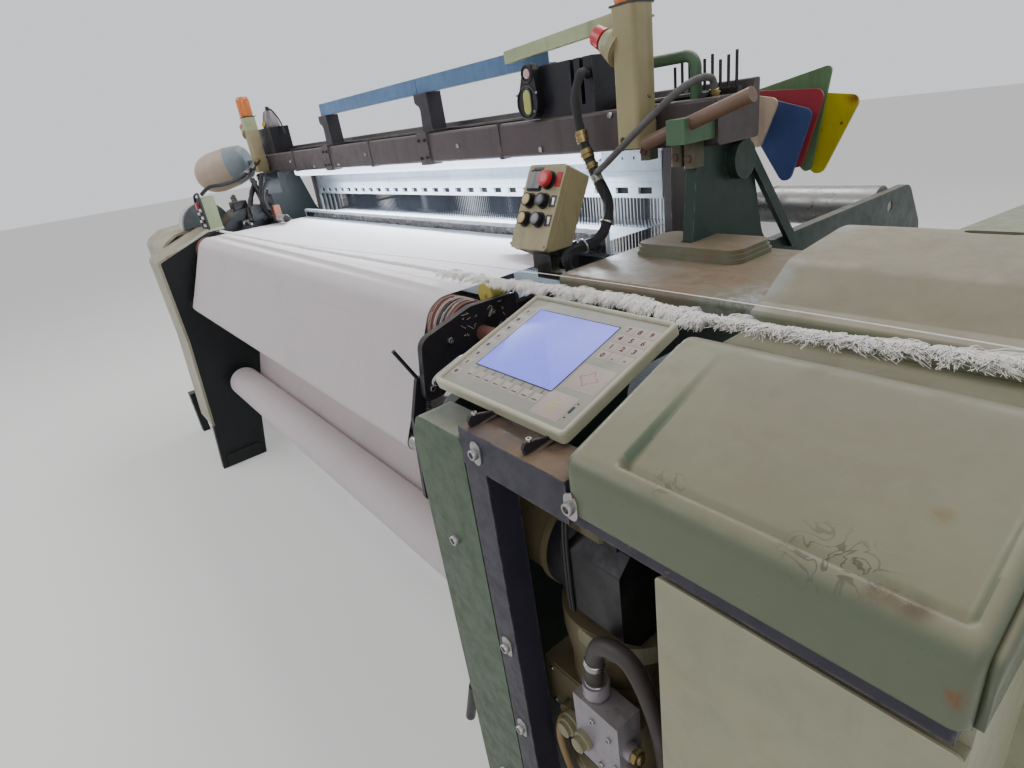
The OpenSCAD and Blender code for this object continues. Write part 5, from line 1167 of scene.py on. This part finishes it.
# Windows of the belt guard and its rims
guard = Shape("window_lime", "window_pink", "black_unit", "bright_steel")
G = facing((676, -236.2, 1522), -Y)
guard.plate(slot_outline(26, 56), 0, 2.6, 0, G, 1.0)
guard.plate(circle(11, 20), 0, 3.0, 1, facing((684, -236.2, 1584), -Y), 1.0)
for outline, place in ((circle(37, 40), (676, -236.2, 1520)), (circle(19, 28), (684, -236.2, 1584)),
                       (slot_outline(32, 62), (676, -236.2, 1522))):
    guard.hoop(outline, 0.6, 2.2, 2, 8, facing(place, -Y))
guard.bolts(-Y, [(x, -236.2, z) for x, z in ((640, 1540), (712, 1540), (700, 1500))], 3.2, 3)
guard.done("belt_guard_windows")

# Breast roller's worn right end
ends = Shape("rubber_red", "wound_thread", "bracket_black")
R = facing((0, -650, 1102.7), X)
ribs = [(50, 826.3)]
for k in range(22):
    ribs += [(60.4, 826.4 + 1.1 * k), (61.2, 826.8 + 1.1 * k)]
ends.lathe(ribs + [(50, 851)], 0, R, 72)
ends.lathe([(50, 851), (60.6, 851.2), (60.6, 862), (57, 864), (57, 872), (60, 874), (60, 884), (56, 888),
            (56, 898), (50, 900)], 2, R, 72)
for k in range(34):
    x0 = rng.choice((828, 849, 853, 866, 872, 888)) + rng.uniform(-3, 4)
    a0, span, drift = rng.uniform(0, math.tau), rng.uniform(0.8, 5.0), rng.uniform(-5, 5)
    line = []
    for i in range(22):
        a = a0 + span * i / 21
        r = 61.9 + rng.uniform(-0.3, 0.5)
        line.append(R @ Vector((r * math.cos(a), r * math.sin(a), x0 + drift * i / 21
                                + rng.uniform(-0.7, 0.7))))
    ends.tube(line, rng.uniform(0.35, 1.0), 1, 5)
ends.done("breast_roller_end", "breast_roller_b")

# Spring, rod and small parts at the right end of the breast roller
front_bits = Shape("bright_steel", "wound_thread", "temple_dark")
coil = []
for k in range(241):
    a, t = math.tau * k / 12, k / 240
    coil.append(Vector((934 + 4.6 * math.cos(a), -800 - 20 * t + 4.4 * math.sin(a), 1010 - 96 * t)))
front_bits.tube(coil, 1.1, 2, 6)
for end, to in ((coil[0], (934, -796, 1026)), (coil[-1], (934, -826, 900))):
    front_bits.tube([end, end.lerp(Vector(to), 0.5), Vector(to)], 1.3, 2, 6)
front_bits.bolt(facing((940, -650, 1102.7), X), 15, 0, None, 0, False)
front_bits.bolts(X, [(940, y, z) for y, z in ((-790, 1031), (-730, 1112), (-620, 1140), (-596, 1088))],
                 6.5, 0)
for k in range(26):
    y, z = rng.uniform(-700, -560), rng.uniform(1080, 1158)
    p = Vector((941.5, y, z))
    line = [p + Vector((rng.uniform(0, 3), rng.uniform(-12, 12) * t, rng.uniform(-12, 8) * t))
            for t in (0, 0.5, 1)]
    front_bits.tube(line, 0.5, 1, 4)
front_bits.done("roller_bracket_fittings")

# Service bay: screws, strap, plugs, fittings and the small pump
bay = Shape("cast_beige", "cap_black", "brass", "bright_steel", "flange_pale", "hose_brown")
bay.block(1364, 1452, -858, -774, 966, 991, 0, None, 4)
bay.bolts(Z, [(1372, -850, 991), (1444, -850, 991)], 5.0, 3)
for x, r in ((1396, 3.4), (1402, 3.0)):
    strap = [(x, y, z) for y, z in ((-876, 830), (-877, 884), (-874, 966), (-862, 995), (-800, 995),
                                    (-712, 966))]
    bay.tube(spline(strap, 6), r, 1, 8)
bay.bolts(X, [(1466.3, y, z) for y, z in ((-860, 826), (-730, 826), (-866, 930), (-726, 930))], 4.6, 3)
F = Matrix.Translation((1426, -784, 0))
bay.lathe([(80, 800), (93.5, 800.5), (94.5, 790), (94.5, 772), (90, 764), (80, 763)], 4, F, 72)
bay.lathe([(90, 500), (113, 499), (114, 494), (114, 482), (112.5, 479), (90, 478.5)], 4, F, 72)
for k in range(8):
    a = math.tau * (k + 0.5) / 8
    bay.bolt(F @ Matrix.Translation((103 * math.cos(a), 103 * math.sin(a), 497)), 5.5, 3, None, 0, False)
J = facing((1386, -890, 590), -Y)
bay.lathe([(0.1, -2), (19, -2), (19, 8), (16, 10), (16, 18), (13, 20), (13, 26), (8, 28), (0.1, 28)], 4, J,
          24)
bay.block(1317, 1405, -873.5, -871.5, 562, 654, 0, None, 0.8)
bay.bolts(-Y, [(x, -873.5, z) for z in (570, 646) for x in (1325, 1397)], 4.2, 3)
for z in (630, 672):
    V = facing((1530, -904, z), X)
    bay.plate(circle(12.5, 6), 0, 9, 2, V, 1.5)
    bay.lathe([(0.1, 9), (7, 9), (7, 13), (5, 14.5), (0.1, 14.5)], 2, V, 18)
V = facing((1448, -922.3, 640), -Y)
bay.lathe([(0.1, 0), (16, 0), (16, 7), (12, 8.5), (12, 17), (9, 19), (0.1, 19)], 4, V, 20)
bay.bolts(-Y, [(x, -922.3, z) for x, z in ((1500, 690), (1510, 640), (1480, 616), (1470, 700))], 4.4, 3)
bay.lathe([(13.5, 0), (20.4, 0), (20.4, 5), (17, 7), (17, 12), (20, 14), (20, 20), (17, 24), (15, 26),
           (13.5, 26)], 3, Matrix.Translation((1458, -898, 727)), 22)
for k, (x, y, z, r, h) in enumerate(((1556, -800, 84, 52, 210), (1556, -800, 294, 40, 46),
                                     (1556, -800, 340, 22, 40))):
    F = Matrix.Translation((x, y, z))
    bay.lathe([(0.1, 0), (r - 4, 0), (r, 4), (r, h - 6), (r - 6, h), (0.1, h)], 1 if k < 2 else 2, F, 32)
bay.tube(spline([(1556, -800, 378), (1560, -796, 430), (1540, -780, 520), (1528, -776, 640)], 8), 9, 5, 12)
bay.done("bay_fittings")

# Left end: button rows, cable loop, couplings and the dark mechanism
left = Shape("cap_black", "thread_white", "cable_black", "bright_steel", "black_unit", "terracotta", "brass",
             "temple_dark")
left.block(-1389, -1299, -619, -613, 1194, 1338, 0, None, 2)
for row in range(5):
    for col in range(2):
        x, z = -1368 + 46 * col, 1212 + 18 * row
        left.block(x - 15, x + 15, -632, -618, z - 6, z + 6, 1 if (row + col) % 2 else 0, None, 1.5)
loop = spline([(-1298, -622, 1190), (-1294, -624, 1270), (-1296, -622, 1338), (-1320, -616, 1356),
               (-1370, -616, 1354), (-1392, -622, 1336), (-1396, -624, 1260), (-1392, -622, 1192)], 6)
left.tube(loop, 5, 2, 10)
feed = spline([(-1330, -600, 1350), (-1310, -560, 1378), (-1300, -500, 1380), (-1330, -420, 1390),
               (-1390, -330, 1420), (-1420, -262, 1470), (-1430, -236, 1540)], 8)
left.tube(feed, 8.5, 2, 12)
for i, look, r in ((30, 3, 13), (34, 3, 12), (38, 6, 14), (42, 3, 12)):
    left.ring_nut(feed, i, r, 22, look, 14, ((-5, r + 2), (5, r + 2)))
for points, r in (([(-1300, -300, 1400), (-1290, -330, 1330), (-1262, -350, 1250), (-1246, -330, 1196)], 15),
                  ([(-1360, -330, 1370), (-1330, -380, 1300), (-1290, -420, 1230), (-1262, -430, 1192)], 12),
                  ([(-1240, -300, 1380), (-1250, -330, 1330), (-1232, -352, 1280), (-1204, -352, 1232)], 9),
                  ([(-1420, -420, 1240), (-1340, -440, 1216), (-1270, -450, 1196), (-1210, -452, 1180)], 9)):
    left.tube(spline(points, 6), [r * (1 + 0.12 * math.sin(k * 1.9))
                                  for k in range(6 * (len(points) - 1) + 1)], 4, 12)
for x0, x1, y0, y1, z0, z1, look in ((-1400, -1310, -300, -226, 1300, 1400, 4),
                                     (-1330, -1262, -420, -340, 1196, 1262, 4),
                                     (-1420, -1350, -470, -400, 1198, 1290, 4),
                                     (-1232, -1196, -330, -296, 1186, 1252, 5),
                                     (-1300, -1256, -474, -440, 1178, 1206, 7)):
    left.block(x0, x1, y0, y1, z0, z1, look, None, 3)
for outline, y in (([(-1420, 1392), (-1372, 1396), (-1296, 1250), (-1276, 1196), (-1320, 1196),
                     (-1352, 1262)], -300), ([(-1366, 1380), (-1334, 1386), (-1252, 1262), (-1240, 1210),
        (-1272, 1204), (-1300, 1262)], -352), ([(-1470, 1300), (-1440, 1320), (-1372, 1236), (-1330, 1196),
        (-1470, 1196)], -440)):
    left.loft([[(x, y + d, z) for x, z in outline] for d in (0, 2, 14, 16)], 4)
    left.bolts(-Y, [(x - 16, y, z - 14) for x, z in (outline[1], outline[-2])], 6, 3)
left.bolts(-Y, ((-1310, -300.5, 1330), (-1330, -420.5, 1240), (-1290, -420.5, 1220),
                (-1380, -470.5, 1250)), 6, 3)
left.lathe([(0.1, 0), (9, 0), (9, 3), (6, 4), (6, 70), (4, 76), (0.1, 76)], 3,
           facing((-1262, -452, 1190), X), 18)
left.done("left_end_mechanism")
feeder = Shape("valve_white", "feeder_yellow", "cap_black")
F = facing((-1400, -160, 1600), Z, Y)
feeder.lathe([(0.1, 0), (40, 0), (42, 4), (40, 20), (30, 58), (24, 74), (12, 80), (0.1, 80)], 0, F, 36)
feeder.plate(circle(13, 24), 0, 4, 1, facing((-1388, -200, 1618), (0.2, -1, 0.25)), 1)
feeder.lathe([(0.1, 78), (9, 78), (10, 84), (8, 96), (0.1, 98)], 2, F, 20)
feeder.tube(spline([(-1392, -160, 1690), (-1340, -158, 1672), (-1290, -152, 1622), (-1262, -150, 1560)],
                   6), 4, 2, 8)
feeder.done("left_feeder")

# Temples' needle rings, clamps and bolts on the beam
rings = Shape("bright_steel", "brass")
for edge, s in ((CLOTH_X0, 1), (CLOTH_X1, -1)):
    F = facing((edge, -310, 1189), X * s)
    prof = [(10, 8)]
    for k in range(26):
        prof += [(17.2, 8 + 4.6 * k), (19.0, 9.6 + 4.6 * k), (19.0, 10.6 + 4.6 * k), (17.2, 12.2 + 4.6 * k)]
    rings.lathe(prof + [(10, 128)], 0, F, 36)
    rings.lathe([(0.1, -43), (9, -43), (9, -51), (7, -53), (0.1, -53)], 1, F, 6)
    rings.bolts(Z, [(edge - s * 12, -310 + dy, 1205) for dy in (-16, 14)], 5, 0)
rings.done("temple_rings")
clamps = Shape("clamp_olive", "bright_steel", "rusty_bar", "cap_black")
for x0, x1, y0, z0, z1 in ((1034, 1058, -252, 1376, 1452), (1116, 1140, -256, 1362, 1410),
                           (1146, 1170, -256, 1358, 1410)):
    clamps.block(x0, x1, y0, -219, z0, z1, 0, None, 3)
    clamps.bolt(facing(((x0 + x1) / 2, y0, z0 + 18), -Y), 8, 2, None, 0, False)
beam_bolts = ((-1100, 1437), (-560, 1410), (-300, 1437), (120, 1410), (320, 1437), (690, 1410),
              (-820, 1410), (930, 1470), (960, 1400))
clamps.bolts(-Y, [(x, -220.2, z) for x, z in beam_bolts], 7, 1, None, 0, False)
for x in (-657, 129):
    clamps.bolts(-Y, [(x + dx, -226.2, z) for z in (1410, 1462) for dx in (-18, 18)], 5.5, 3)
for x in (-1440, 1030):
    clamps.hoop(circle(7.0, 20), 0, 1.4, 2, 6, facing((x - 12, -281.8, 1420), -Y))
    clamps.block(x - 31, x + 31, -284, -221, 1660, 1664, 3, None, 1)
BEAM_LEAD = [(1156, -206, 1484), (1120, -160, 1486), (900, -140, 1484), (400, -136, 1484), (-400, -140, 1484),
             (-1290, -150, 1486)]
clamps.tube(spline(BEAM_LEAD, 10), 6, 3, 8)
clamps.done("beam_hardware")

# Floor, backdrop, lights
def stage_plane(name, points, look):
    mesh = bpy.data.meshes.new(name)
    mesh.from_pydata(points, [], [tuple(range(len(points)))])
    mesh.materials.append(look)
    piece = bpy.data.objects.new(name, mesh)
    bpy.context.scene.collection.objects.link(piece)


def pale(base, white):
    """Pale studio surface that is brighter to the camera and in reflections than it lights the object."""
    base = colour(base)
    f = Finish(Roughness=0.9)
    shade = f.mix(f.ramp(f.noise(0.8, 4.0), 0.3, 0.7, 0.25), base, darker(base, 0.93))
    f.use("Base Color", shade)
    f.use("Emission Strength", f.both(f.seen(), white))
    f.use("Emission Color", shade)
    return f.material


stage_plane("floor", [(-30, -30, 0), (30, -30, 0), (30, 30, 0), (-30, 30, 0)], pale((218, 217, 214), 0.46))

world = bpy.data.worlds.new("studio")
bpy.context.scene.world = world
world.use_nodes = True
sky = Nodes(world.node_tree)
back = sky.tree.nodes["Background"]
back.inputs["Color"].default_value = (0.93, 0.95, 1.0, 1)
sky.tree.links.new(sky.ramp(sky.seen(), 0.0, 1.0, 0.98, 0.44), back.inputs["Strength"])


def area_light(name, place, aim, size, watts, tint=(1, 1, 1)):
    light = bpy.data.lights.new(name, "AREA")
    light.shape, light.energy, light.color = "RECTANGLE", watts, tint
    light.size, light.size_y = size
    holder = bpy.data.objects.new(name, light)
    turned = (Vector(aim) - Vector(place)).to_track_quat("-Z", "Y")
    holder.matrix_world = Matrix.Translation(place) @ turned.to_matrix().to_4x4()
    bpy.context.scene.collection.objects.link(holder)


area_light("key", (-2.5, -3.6, 4.4), (0.2, -0.4, 0.9), (4.5, 2.5), 84, (0.97, 0.985, 1.0))
area_light("fill", (4.6, -3.4, 3.0), (0.8, -0.4, 0.8), (3.0, 3.0), 30, (1.0, 0.985, 0.96))
area_light("top", (0.0, 1.8, 4.8), (0.0, 0.2, 1.0), (6.0, 2.0), 150)
area_light("shed", (-0.2, -0.02, 1.352), (-0.2, -0.30, 1.10), (1.9, 0.03), 22, (0.82, 0.92, 1.0))
